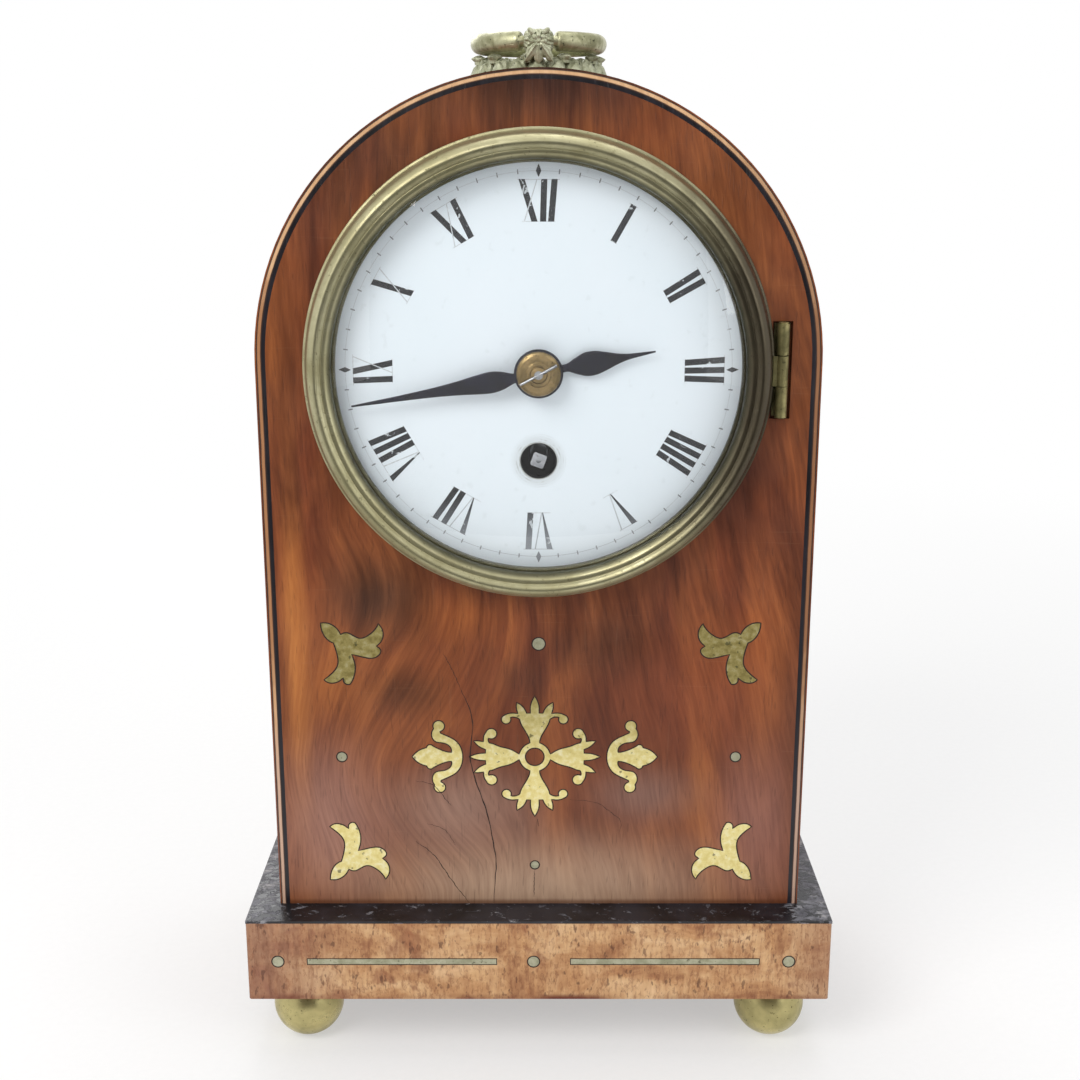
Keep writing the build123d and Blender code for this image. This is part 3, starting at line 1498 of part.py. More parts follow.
BUILDERS = [
    ball_feet, plinth_frame, base_board, ebonised_moulding, front_board, arched_carcase, back_frame,
    boxwood_stringing, ebony_stringing, bezel_hinge_fixed_leaf, bezel_hinge_pin, bezel_hinge_screws,
    bezel_ring, bezel_glass, glass_retaining_ring, bezel_hinge_moving_leaf, back_door_frame,
    back_door_glass, back_door_knob, back_hinge_fixed_leaves, back_hinge_moving_leaves, back_hinge_pins,
    dial, hour_hand, minute_hand, hand_boss, cannon_pinion, minute_wheel, hour_wheel, front_plate,
    back_plate, pillars, seat_board, frame_fasteners, great_wheel, fusee_cone, fusee_arbor, fusee_click,
    barrel_drum, barrel_cap, barrel_arbor, setup_click, mainspring, gut_line, centre_wheel, third_wheel,
    escape_wheel, pallets, crutch, back_cock, suspension_spring, pendulum_rod, pendulum_bob, rating_nut,
    handle_plate, handle_clasp, ring_handle,
]


def main():
    """Build each piece, move the whole so that its box is centred, and write it."""
    nodes = {builder.__name__: builder() for builder in BUILDERS}
    nodes["centre_inlay"] = slab(centre_ornament(), 0, inlay_depth)
    nodes["corner_inlays"] = slab(corner_sprays(), 0, inlay_depth)
    nodes["brass_roundels"] = slab(roundels(), 0, inlay_depth) + plinth_pockets()
    for name, solid in nodes.items():
        export_step(Pos(0, -centre_y, 0) * solid, f"parts/{name}.step")
    print("depth of the front face behind the centre:", round(-centre_y, 3))


main()
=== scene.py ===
"""The look of a fusee clock in an arched mahogany case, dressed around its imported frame.

Shapes are worked out in millimetres and become metres when a mesh is made. X is right, Y is back, Z is up.
"""

import logging
import math
from dataclasses import dataclass, field
from enum import Enum
from typing import Iterable, Sequence, Union

import bpy
import numpy as np
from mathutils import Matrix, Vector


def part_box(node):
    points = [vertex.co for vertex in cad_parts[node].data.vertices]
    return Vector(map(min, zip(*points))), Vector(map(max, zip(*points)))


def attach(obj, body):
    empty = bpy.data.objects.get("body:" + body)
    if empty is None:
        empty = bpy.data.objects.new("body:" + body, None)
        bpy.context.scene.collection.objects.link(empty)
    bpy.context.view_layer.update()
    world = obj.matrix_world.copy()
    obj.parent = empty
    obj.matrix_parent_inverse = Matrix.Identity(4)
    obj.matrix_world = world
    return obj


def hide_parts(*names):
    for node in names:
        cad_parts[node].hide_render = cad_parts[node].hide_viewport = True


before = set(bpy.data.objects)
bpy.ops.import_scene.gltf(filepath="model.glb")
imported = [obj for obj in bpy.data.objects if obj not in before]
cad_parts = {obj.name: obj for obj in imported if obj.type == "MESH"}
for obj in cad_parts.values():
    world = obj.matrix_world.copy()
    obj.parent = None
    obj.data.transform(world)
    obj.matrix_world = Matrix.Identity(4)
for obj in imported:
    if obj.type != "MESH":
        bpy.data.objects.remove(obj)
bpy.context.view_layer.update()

MM = 0.001
TINY = 1e-9

log = logging.getLogger("fusee_clock")

Array = np.ndarray
Socket = bpy.types.NodeSocket
Value = Union[float, Sequence[float], Socket]


def box_mm(node: str) -> tuple[Array, Array]:
    """The lowest and highest corners of a CAD node, in millimetres.

    Args:
        node: The CAD node's name.

    Returns:
        The two corners.
    """
    low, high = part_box(node)
    return np.array(low) / MM, np.array(high) / MM


def middle_mm(node: str) -> Array:
    """The middle of a CAD node's box, in millimetres."""
    low, high = box_mm(node)
    return (low + high) / 2


def linear(code: str) -> tuple[float, float, float, float]:
    """A colour for a shader from a hex code.

    Args:
        code: Six hex digits, as seen on a screen.

    Returns:
        The linear red, green and blue, and an alpha of one.
    """
    parts = [int(code[i : i + 2], 16) / 255 for i in (0, 2, 4)]
    red, green, blue = [c / 12.92 if c <= 0.04045 else ((c + 0.055) / 1.055) ** 2.4 for c in parts]
    return red, green, blue, 1.0


# Shapes


@dataclass
class Shell:
    """The points and faces of a surface, in millimetres.

    A quad whose two neighbouring points fall together is kept as a triangle when the mesh is made.
    """

    points: Array
    quads: Array

    def corners(self) -> list[Array]:
        """The quads' corners, one array for each of the four."""
        return [self.points[self.quads[:, k]] for k in range(4)]

    def flipped(self) -> "Shell":
        """The same shell with its faces turned over."""
        return Shell(self.points, self.quads[:, ::-1])

    def outward(self) -> "Shell":
        """The same closed shell with its faces outwards, where its signed volume is positive."""
        a, b, c, d = self.corners()
        volume = float(np.sum(a * np.cross(b, c)) + np.sum(a * np.cross(c, d)))
        return self if volume > 0 else self.flipped()

    def facing(self, direction: Sequence[float]) -> "Shell":
        """The same open sheet with its faces pointing along a direction on the whole."""
        a, b, c, d = self.corners()
        normal = np.cross(c - a, d - b).sum(axis=0)
        return self if float(normal @ np.asarray(direction)) > 0 else self.flipped()


def grid_shell(points: Array, wrap_rows: bool = False, wrap_columns: bool = False) -> Shell:
    """The surface through a grid of points, with each cell as one quad.

    Args:
        points: An array of rows, columns and three coordinates.
        wrap_rows: Whether the last row joins the first.
        wrap_columns: Whether the last column joins the first.

    Returns:
        The surface.
    """
    rows, columns = points.shape[:2]
    cells = np.arange(rows if wrap_rows else rows - 1), np.arange(columns if wrap_columns else columns - 1)
    i, j = (index.ravel() for index in np.meshgrid(*cells, indexing="ij"))
    down, right = (i + 1) % rows, (j + 1) % columns
    corners = (i * columns + j, down * columns + j, down * columns + right, i * columns + right)
    return Shell(points.reshape(-1, 3), np.stack(corners, axis=1))


def joined(shells: Iterable[Shell]) -> Shell:
    """Several shells as one, each keeping its own faces."""
    shells = list(shells)
    starts = np.cumsum([0] + [len(shell.points) for shell in shells[:-1]])
    return Shell(
        np.concatenate([shell.points for shell in shells]),
        np.concatenate([shell.quads + start for shell, start in zip(shells, starts)]),
    )


def mesh_object(name: str, shell: Shell, crease: float = 35.0) -> bpy.types.Object:
    """A Blender object from a shell, with points that fall together merged.

    Args:
        name: The piece's name.
        shell: The surface in millimetres.
        crease: The angle in degrees past which an edge stays sharp.

    Returns:
        The object, at the origin, with its place in its mesh.
    """
    keys = np.round(shell.points * 1e4).astype(np.int64)
    _, first, which = np.unique(keys, axis=0, return_index=True, return_inverse=True)
    points = shell.points[first] * MM
    quads = which.reshape(-1)[shell.quads]
    same = quads == np.roll(quads, -1, axis=1)
    whole = quads[same.sum(axis=1) == 0]
    bent = quads[same.sum(axis=1) == 1]
    drop = np.argmax(bent == np.roll(bent, -1, axis=1), axis=1)
    keep = (drop[:, None] + np.array([1, 2, 3])[None, :]) % 4
    triangles = np.take_along_axis(bent, keep, axis=1)
    mesh = bpy.data.meshes.new(name)
    mesh.from_pydata(points, [], whole.tolist() + triangles.tolist())
    mesh.validate()
    mesh.shade_smooth()
    mesh.set_sharp_from_angle(angle=math.radians(crease))
    thing = bpy.data.objects.new(name, mesh)
    bpy.context.scene.collection.objects.link(thing)
    return thing


def smooth_profile(points: Sequence[tuple[float, float]], steps: int) -> Array:
    """A rounded line through the given points: a cardinal spline, each span cut into equal steps.

    Args:
        points: The points that the line passes through.
        steps: The number of steps in each span.

    Returns:
        An array of points along the line.
    """
    p = np.asarray(points, float)
    before, after = 2 * p[0] - p[1], 2 * p[-1] - p[-2]
    full = np.vstack([before, p, after])
    t = np.linspace(0, 1, steps, endpoint=False)[:, None, None]
    p0, p1, p2, p3 = full[:-3], full[1:-2], full[2:-1], full[3:]
    second, third = 2 * p0 - 5 * p1 + 4 * p2 - p3, 3 * p1 - p0 - 3 * p2 + p3
    curve = 0.5 * (2 * p1 + (p2 - p0) * t + second * t**2 + third * t**3)
    return np.vstack([curve.transpose(1, 0, 2).reshape(-1, 2), p[-1:]])


def round_angles(count: int) -> Array:
    """Equal angles round a full turn, without the last one that would meet the first."""
    return np.linspace(0, 2 * np.pi, count, endpoint=False)


def turned(profile: Array, centre: Sequence[float], axis: str, segments: int, closed: bool = True) -> Shell:
    """A profile turned about an axis: each point (radius, along) sweeps a circle.

    Args:
        profile: An array of (radius, along) points.
        centre: The axis's place, where along is zero.
        axis: "y" or "z", the axis that along runs on.
        segments: The number of steps round the circle.
        closed: Whether the profile's last point joins its first.

    Returns:
        The turned surface, with its faces outwards.
    """
    angle = round_angles(segments)
    radius, along = profile[:, :1], profile[:, 1:] + 0 * angle
    across, other = radius * np.cos(angle), radius * np.sin(angle)
    order = (across, along, other) if axis == "y" else (across, other, along)
    points = np.stack(order, axis=-1) + np.asarray(centre, float)
    return grid_shell(points, wrap_rows=closed, wrap_columns=True).outward()


def tube(path: Array, radii: Array, sides: int) -> Shell:
    """A round tube along a path: each ring lies across the path's direction there.

    Args:
        path: The centre's points.
        radii: The tube's radius at each point.
        sides: The number of steps round the tube.

    Returns:
        The tube, with its ends drawn in to a point.
    """
    ahead = np.roll(path, -1, axis=0) - np.roll(path, 1, axis=0)
    ahead[0], ahead[-1] = path[1] - path[0], path[-1] - path[-2]
    ahead /= np.linalg.norm(ahead, axis=1, keepdims=True)
    up = np.tile(np.array([0.0, 0.0, 1.0]), (len(path), 1))
    up -= ahead * np.sum(ahead * up, axis=1, keepdims=True)
    up /= np.linalg.norm(up, axis=1, keepdims=True)
    side = np.cross(ahead, up)
    angle = round_angles(sides)[None, :, None]
    ring = side[:, None] * np.cos(angle) + up[:, None] * np.sin(angle)
    points = path[:, None] + ring * np.asarray(radii, float)[:, None, None]
    start, end = np.repeat(path[:1, None], sides, axis=1), np.repeat(path[-1:, None], sides, axis=1)
    return grid_shell(np.concatenate([start, points, end]), wrap_columns=True).outward()


def start_drawn_in(points: Array) -> Array:
    """A loft's grid with one more ring before its first, drawn together at that ring's middle."""
    middle = points[:1].mean(axis=1, keepdims=True)
    return np.concatenate([np.repeat(middle, points.shape[1], axis=1), points])


def spread(x: Array, y: Array, z: Array) -> Array:
    """Three coordinates as one array of points, each stretched to the shape that they share."""
    return np.stack(np.broadcast_arrays(x, y, z), axis=-1)


def ripple(a: Array, b: Array, seed: float) -> Array:
    """A gentle unevenness between about -1 and 1: a sum of sines of two coordinates."""
    waves = ((1.0, 0.37, 1.3, 0.6), (2.3, 1.7, -0.9, 0.35), (-3.1, 4.3, 2.1, 0.22), (6.1, -5.2, 0.4, 0.12))
    return sum(size * np.sin(f * a + g * b + h + seed * (k + 1)) for k, (f, g, h, size) in enumerate(waves))


@dataclass(frozen=True)
class Dome:
    """A round cap that stands out towards -Y: its rim, its rise and the radius of the rim."""

    rim_y: float
    rise: float
    rim_radius: float

    def depth(self, radius: Array) -> Array:
        """The cap's Y at a radius: the rim's Y less the rise, and more by the drop of a sphere."""
        sphere = (self.rim_radius**2 + self.rise**2) / (2 * self.rise)
        inside = np.minimum(radius, self.rim_radius)
        return self.rim_y - self.rise + sphere - np.sqrt(sphere**2 - inside**2)


# Shader graphs


class Graph:
    """A node tree that is written as calls."""

    def __init__(self, tree: bpy.types.NodeTree) -> None:
        """Keep the tree that nodes are added to."""
        self.tree = tree

    def add(self, kind: str, inputs: dict[Union[str, int], Value], **settings: object) -> bpy.types.Node:
        """Add a node.

        Args:
            kind: The node's type name.
            inputs: Values or sockets for the node's inputs, by name or number.
            **settings: The node's own properties.

        Returns:
            The node.
        """
        node = self.tree.nodes.new(kind)
        for key, value in settings.items():
            setattr(node, key, value)
        for key, value in inputs.items():
            if isinstance(value, bpy.types.NodeSocket):
                self.tree.links.new(value, node.inputs[key])
            else:
                node.inputs[key].default_value = value
        return node

    def math(self, operation: str, a: Value, b: Value = 0.0) -> Socket:
        """The result of a Math node on one value or two."""
        return self.add("ShaderNodeMath", {0: a, 1: b}, operation=operation).outputs[0]

    def times(self, a: Value, b: Value) -> Socket:
        """One value times another."""
        return self.math("MULTIPLY", a, b)

    def plus(self, a: Value, b: Value) -> Socket:
        """The sum of two values."""
        return self.math("ADD", a, b)

    def less(self, a: Value, b: Value) -> Socket:
        """The first value less the second."""
        return self.math("SUBTRACT", a, b)

    def most(self, a: Value, b: Value) -> Socket:
        """The greater of two values."""
        return self.math("MAXIMUM", a, b)

    def swing(self, noise: Socket, reach: float) -> Socket:
        """A noise about its middle, as wide as the reach."""
        return self.times(self.less(noise, 0.5), reach)

    def raised(self, mask: Value, share: float, base: float) -> Socket:
        """A base value, raised by a share of a mask."""
        return self.plus(self.times(mask, share), base)

    def vector(self, operation: str, a: Value, b: Value) -> Socket:
        """The result of a Vector Math node on two vectors."""
        return self.add("ShaderNodeVectorMath", {0: a, 1: b}, operation=operation).outputs["Vector"]

    def length(self, vector: Socket) -> Socket:
        """A vector's length."""
        return self.add("ShaderNodeVectorMath", {0: vector}, operation="LENGTH").outputs["Value"]

    def mapped(self, vector: Socket, scale: Sequence[float], turn: Sequence[float] = (0, 0, 0)) -> Socket:
        """A vector turned by degrees and scaled."""
        turn = [math.radians(angle) for angle in turn]
        return self.add("ShaderNodeMapping", {"Vector": vector, "Scale": scale, "Rotation": turn}).outputs[0]

    def noise(self, vector: Socket, scale: Value, detail: float = 4.0, roughness: float = 0.5,
              distortion: float = 0.0) -> Socket:
        """A noise value between zero and one."""
        given = {"Vector": vector, "Scale": scale, "Detail": detail, "Roughness": roughness}
        return self.add("ShaderNodeTexNoise", {**given, "Distortion": distortion}).outputs["Fac"]

    def ramp(self, factor: Socket, *stops: tuple[float, str]) -> Socket:
        """A colour ramp.

        Args:
            factor: The value that picks the colour.
            *stops: Places from zero to one, each with a colour's hex code.

        Returns:
            The colour.
        """
        node = self.add("ShaderNodeValToRGB", {"Fac": factor})
        elements = node.color_ramp.elements
        while len(elements) < len(stops):
            elements.new(0.5)
        for element, (place, code) in zip(elements, stops):
            element.position = place
            element.color = linear(code)
        return node.outputs["Color"]

    def step(self, value: Socket, low: Value, high: Value, start: float = 0.0, end: float = 1.0) -> Socket:
        """A smooth change from start to end as the value goes from low to high."""
        given = {"Value": value, "From Min": low, "From Max": high, "To Min": start, "To Max": end}
        return self.add("ShaderNodeMapRange", given, interpolation_type="SMOOTHSTEP").outputs[0]

    def between(self, value: Socket, low: float, high: float, start: float = 0.0, end: float = 1.0) -> Socket:
        """A smooth change from start to end between two places in millimetres."""
        return self.step(value, low * MM, high * MM, start, end)

    def blend(self, factor: Value, a: Value, b: Value, mode: str = "MIX") -> Socket:
        """Two colours mixed."""
        settings = {"data_type": "RGBA", "blend_type": mode, "clamp_factor": True}
        return self.add("ShaderNodeMix", {0: factor, 6: a, 7: b}, **settings).outputs[2]

    def lit(self, colour: Value, share: Value, pattern: Socket, *stops: tuple[float, str]) -> Socket:
        """A colour darkened and lightened softly by a pattern's ramp."""
        return self.blend(share, colour, self.ramp(pattern, *stops), "SOFT_LIGHT")

    def stained(self, colour: Value, mask: Value, share: float, code: str) -> Socket:
        """A colour blended towards another by a share of a mask."""
        return self.blend(self.times(mask, share), colour, linear(code))

    def bump(self, height: Socket, distance: float, strength: float) -> Socket:
        """A normal from a height; the distance is in metres."""
        node = self.add("ShaderNodeBump", {"Height": height, "Distance": distance, "Strength": strength})
        return node.outputs["Normal"]

    def place(self) -> Socket:
        """The object's own coordinates."""
        return self.add("ShaderNodeTexCoord", {}).outputs["Object"]

    def axes(self, vector: Socket) -> tuple[Socket, Socket, Socket]:
        """A vector's X, Y and Z."""
        node = self.add("ShaderNodeSeparateXYZ", {0: vector})
        return node.outputs[0], node.outputs[1], node.outputs[2]

    def combined(self, x: Value, y: Value, z: Value) -> Socket:
        """A vector from its X, Y and Z."""
        return self.add("ShaderNodeCombineXYZ", {0: x, 1: y, 2: z}).outputs[0]

    def from_axis(self, vector: Socket, centre: Sequence[float]) -> Socket:
        """The distance from a line along Y, whose X and Z are given in millimetres."""
        near = self.vector("SUBTRACT", vector, (centre[0] * MM, 0, centre[1] * MM))
        return self.length(self.vector("MULTIPLY", near, (1, 0, 1)))

    def background_rays(self) -> Socket:
        """One for the rays that show the background: from the camera, off a gloss or through glass."""
        ray = self.add("ShaderNodeLightPath", {})
        return self.most(ray.outputs["Is Camera Ray"],
                         self.most(ray.outputs["Is Glossy Ray"], ray.outputs["Is Transmission Ray"]))

    def within(self, vector: Socket, centre: Sequence[float], reach: Sequence[float],
               soft: float = 1.0) -> Socket:
        """A soft spot on the front: one at its centre and zero at its reach.

        Args:
            vector: Coordinates in metres.
            centre: The spot's X and Z in millimetres.
            reach: The spot's half width and half height in millimetres.
            soft: The share of the reach over which the spot fades.

        Returns:
            The mask.
        """
        near = self.vector("SUBTRACT", vector, (centre[0] * MM, 0, centre[1] * MM))
        shaped = self.vector("MULTIPLY", near, (1 / (reach[0] * MM), 0, 1 / (reach[1] * MM)))
        return self.step(self.length(shaped), 1 - soft, 1.0, 1.0, 0.0)


@dataclass(frozen=True)
class Effect:
    """A shader node group that several finishes share, built the first time that it is placed."""

    name: str = ""
    inputs: tuple[tuple[str, str, object], ...] = ()
    outputs: tuple[tuple[str, str], ...] = ()

    def draw(self, graph: Graph, given: bpy.types.NodeOutputs) -> dict[str, Socket]:
        """Add the group's own nodes.

        Args:
            graph: The group's graph.
            given: The group's inputs by name.

        Returns:
            A socket for each of the group's outputs.
        """
        raise NotImplementedError

    def tree(self) -> bpy.types.NodeTree:
        """The group's tree, made once."""
        made = bpy.data.node_groups.get(self.name)
        if made is not None:
            return made
        tree = bpy.data.node_groups.new(self.name, "ShaderNodeTree")
        for name, kind, default in self.inputs:
            socket = tree.interface.new_socket(name=name, in_out="INPUT", socket_type=kind)
            if default is not None:
                socket.default_value = default
        for name, kind in self.outputs:
            tree.interface.new_socket(name=name, in_out="OUTPUT", socket_type=kind)
        graph = Graph(tree)
        graph.add("NodeGroupOutput", self.draw(graph, graph.add("NodeGroupInput", {}).outputs))
        return tree

    def put(self, graph: Graph, inputs: dict[str, Value]) -> dict[str, Socket]:
        """Place the group in a material's graph with its own values, and give its outputs by name."""
        node = graph.add("ShaderNodeGroup", inputs, node_tree=self.tree())
        return {socket.name: socket for socket in node.outputs}


VECTOR, NUMBER = "NodeSocketVector", "NodeSocketFloat"
WHITE = (1.0, 1.0, 1.0, 1.0)


@dataclass(frozen=True)
class WoodGrain(Effect):
    """Grain that runs along Z: long streaks, short dark pores and a slow figure across them."""

    name: str = "wood grain"
    inputs: tuple = (("Vector", VECTOR, None), ("Streak Scale", NUMBER, 160.0), ("Figure Scale", NUMBER, 14.0))
    outputs: tuple = (("Streaks", NUMBER), ("Pores", NUMBER), ("Figure", NUMBER))
    sway_scale: float = 9.0
    sway_reach: float = 0.008
    pore_scale: float = 1500.0

    def draw(self, graph: Graph, given: bpy.types.NodeOutputs) -> dict[str, Socket]:
        """Noise that is stretched along the grain, and bent by a slower noise."""
        vector = given["Vector"]
        sway = graph.add("ShaderNodeTexNoise", {"Vector": vector, "Scale": self.sway_scale, "Detail": 1.0})
        sway = graph.vector("SUBTRACT", sway.outputs["Color"], (0.5, 0.5, 0.5))
        reach = (self.sway_reach, self.sway_reach, 0.0)
        bent = graph.vector("ADD", vector, graph.vector("MULTIPLY", sway, reach))
        streaks = graph.noise(graph.mapped(bent, (1, 1, 0.055)), given["Streak Scale"], 6.0, 0.62, 0.2)
        pores = graph.noise(graph.mapped(bent, (1, 1, 0.09)), self.pore_scale, 1.0, 0.4)
        pores = graph.step(pores, 0.62, 0.74)
        figure = graph.noise(graph.mapped(bent, (1, 1, 0.55)), given["Figure Scale"], 3.0, 0.5, 1.1)
        return {"Streaks": streaks, "Pores": pores, "Figure": figure}


@dataclass(frozen=True)
class Handling(Effect):
    """What years of hands do to a surface: soft patches, small specks and fine crossing scratches."""

    name: str = "handling"
    inputs: tuple = (("Vector", VECTOR, None), ("Patch Scale", NUMBER, 40.0), ("Speck Scale", NUMBER, 700.0))
    outputs: tuple = (("Patches", NUMBER), ("Specks", NUMBER), ("Scratches", NUMBER))
    scratch_stretch: float = 0.04

    def draw(self, graph: Graph, given: bpy.types.NodeOutputs) -> dict[str, Socket]:
        """Noises at two scales, and two sets of stretched cells for the scratches."""
        vector = given["Vector"]
        patches = graph.step(graph.noise(vector, given["Patch Scale"], 5.0, 0.6, 0.4), 0.35, 0.68)
        specks = graph.step(graph.noise(vector, given["Speck Scale"], 2.0, 0.5), 0.64, 0.72)
        thin = self.scratch_stretch
        first = graph.noise(graph.mapped(vector, (1, 1, thin), (18, 33, 12)), 900.0, 1.0, 0.5)
        second = graph.noise(graph.mapped(vector, (thin, 1, 1), (-12, 8, 27)), 1100.0, 1.0, 0.5)
        scratches = graph.step(graph.most(first, second), 0.70, 0.76)
        return {"Patches": patches, "Specks": specks, "Scratches": scratches}


@dataclass(frozen=True)
class FloorDistance(Effect):
    """How far a point of the floor is from the object's middle, from zero near to one far."""

    name: str = "distance on the floor"
    inputs: tuple = (("Vector", VECTOR, None), ("Near", NUMBER, 0.35), ("Far", NUMBER, 1.1))
    outputs: tuple = (("Far Share", NUMBER),)

    def draw(self, graph: Graph, given: bpy.types.NodeOutputs) -> dict[str, Socket]:
        """The distance from the middle, eased between the two limits."""
        return {"Far Share": graph.step(graph.length(given["Vector"]), given["Near"], given["Far"])}


# Finishes


@dataclass(frozen=True)
class Finish:
    """A material, made once for each name."""

    name: str = ""

    def nodes(self, graph: Graph) -> Socket:
        """Add the finish's nodes.

        Args:
            graph: The material's graph.

        Returns:
            The shader that the surface shows.
        """
        raise NotImplementedError

    def material(self) -> bpy.types.Material:
        """The Blender material."""
        made = bpy.data.materials.get(f"finish {self.name}")
        if made is not None:
            return made
        material = bpy.data.materials.new(f"finish {self.name}")
        material.use_nodes = True
        material.node_tree.nodes.clear()
        graph = Graph(material.node_tree)
        surface = self.nodes(graph)
        graph.add("ShaderNodeOutputMaterial", {"Surface": surface})
        return material


def handled(graph: Graph, place: Socket, patch_scale: float, speck_scale: float) -> dict[str, Socket]:
    """The marks of handling on a place, with patches and specks of the given scales."""
    return Handling().put(graph, {"Vector": place, "Patch Scale": patch_scale, "Speck Scale": speck_scale})


def grained(graph: Graph, place: Socket, streak_scale: float, figure_scale: float) -> dict[str, Socket]:
    """Wood grain on a place, with streaks and figure of the given scales."""
    return WoodGrain().put(graph, {"Vector": place, "Streak Scale": streak_scale, "Figure Scale": figure_scale})


def principled(graph: Graph, **inputs: Value) -> Socket:
    """A Principled shader; an input's name is written with underscores for spaces."""
    given = {key.replace("_", " "): value for key, value in inputs.items()}
    return graph.add("ShaderNodeBsdfPrincipled", given).outputs[0]


@dataclass(frozen=True)
class Tone:
    """A broad soft patch of colour on the front board: its middle above the board's foot, and its reach."""

    x: float
    height: float
    half_width: float
    half_height: float
    strength: float
    code: str


@dataclass(frozen=True)
class FlameMahogany(Finish):
    """The front's figured mahogany: a feather that leans to the middle, and straighter edges."""

    name: str = "flame mahogany"
    bottom: float = 60.7
    left_lean: float = 0.6
    right_lean: float = -0.2
    lean_pivot: float = 96.0
    faint_low: float = 45.0
    faint_high: float = 125.0
    foot_low: float = 0.4
    foot_high: float = 2.6
    pore_code: str = "2c140c"
    scratch_code: str = "c39a78"
    foot_code: str = "5a3018"
    # The greyish mauve tones low on the board (9a7062, b0927a, 957465, 94665a, 836358) are a painted sheen, the
    # pale floor's reflection; the others are the wood's own colour.
    tones: tuple[Tone, ...] = (
        Tone(0, 312, 74, 28, 0.95, "3a231c"), Tone(-58, 286, 50, 46, 0.7, "502c1d"),
        Tone(66, 282, 36, 40, 0.6, "744325"), Tone(-94, 222, 12, 62, 0.7, "8c5028"),
        Tone(95, 210, 12, 70, 0.6, "7d451f"), Tone(-60, 126, 30, 26, 0.9, "4c2f20"),
        Tone(-50, 88, 22, 15, 0.75, "55321f"), Tone(-78, 92, 18, 20, 0.6, "a3602e"),
        Tone(-30, 118, 20, 14, 0.7, "96552a"), Tone(-91, 96, 7, 120, 0.8, "b06d36"),
        Tone(-80, 34, 34, 50, 0.85, "9a7062"), Tone(0, 4, 110, 38, 0.95, "b0927a"),
        Tone(-30, 40, 46, 28, 0.85, "957465"), Tone(56, 88, 40, 40, 0.7, "84452a"),
        Tone(84, 34, 26, 48, 0.6, "94665a"), Tone(24, 108, 30, 20, 0.7, "5c3624"),
        Tone(40, 46, 32, 18, 0.75, "836358"), Tone(84, 112, 12, 50, 0.6, "9a5730"),
        Tone(-6, 94, 14, 12, 0.6, "5a3424"), Tone(97, 80, 6, 90, 0.5, "74432c"),
    )

    def nodes(self, graph: Graph) -> Socket:
        """Broad tones, some of them a painted sheen, then strands along the lean, pores, haze and scratches."""
        place = graph.place()
        fibre = self.along_fibres(graph, place)
        broad = graph.noise(graph.mapped(fibre, (1, 1, 4.0)), 30.0, 3.0, 0.5, 1.4)
        colour = graph.ramp(broad, (0.32, "6a3620"), (0.46, "7c4325"), (0.56, "8a4e2a"), (0.68, "98592f"))
        # broad tones; the greyish mauve ones low on the board are a painted sheen
        for tone in self.tones:
            middle, reach = (tone.x, self.bottom + tone.height), (tone.half_width, tone.half_height)
            colour = graph.stained(colour, graph.within(place, middle, reach), tone.strength, tone.code)
        _, _, z = graph.axes(place)
        clear = graph.between(z, self.bottom + self.faint_low, self.bottom + self.faint_high, 0.22)
        wisps = graph.noise(graph.mapped(fibre, (1, 1, 2.2)), 62.0, 5.0, 0.6, 1.0)
        colour = graph.lit(colour, graph.times(clear, 0.5), wisps,
                           (0.34, "585350"), (0.5, "bcb8b4"), (0.66, "efe2cf"))
        strands = graph.noise(fibre, 130.0, 6.0, 0.62, 0.3)
        colour = graph.lit(colour, graph.times(clear, 0.26), strands,
                           (0.34, "4c4644"), (0.5, "b6b2ae"), (0.64, "f4ece0"))
        threads = graph.noise(fibre, 620.0, 3.0, 0.6, 0.2)
        colour = graph.lit(colour, 0.22, threads, (0.36, "56504e"), (0.64, "f2eee8"))
        grain = grained(graph, place, 150.0, 17.0)
        colour = graph.stained(colour, grain["Pores"], 0.22, self.pore_code)
        old = handled(graph, place, 22.0, 520.0)
        colour = graph.stained(colour, old["Scratches"], 0.03, self.scratch_code)
        # painted shade along the foot of the board, where it meets the plinth
        foot = graph.between(z, self.bottom + self.foot_low, self.bottom + self.foot_high, 0.7, 0.0)
        colour = graph.blend(foot, colour, linear(self.foot_code))
        rough = graph.raised(old["Patches"], 0.16, 0.34)
        height = graph.less(graph.times(threads, 0.6), grain["Pores"])
        return principled(graph, Base_Color=colour, Roughness=rough, Normal=graph.bump(height, 0.00006, 0.6),
                          Coat_Weight=0.15, Coat_Roughness=0.25, Specular_IOR_Level=0.35)

    def along_fibres(self, graph: Graph, place: Socket) -> Socket:
        """Coordinates that run with the fibres.

        The first is X less the lean times the height above a pivot, so that it is the same all along a fibre.
        The last is a small share of the height, so that a pattern is long along a fibre and short across it.
        """
        x, _, z = graph.axes(place)
        left = graph.within(place, (-50, self.bottom + 84), (62, 82), 0.8)
        right = graph.between(x, -12.0, 30.0)
        lean = graph.plus(graph.times(left, self.left_lean), graph.times(right, self.right_lean))
        rise = graph.less(z, (self.bottom + self.lean_pivot) * MM)
        wander = graph.swing(graph.noise(place, 11.0, 2.0, 0.5), 0.014)
        across = graph.plus(graph.less(x, graph.times(lean, rise)), wander)
        return graph.combined(across, 0.0, graph.times(z, 0.075))


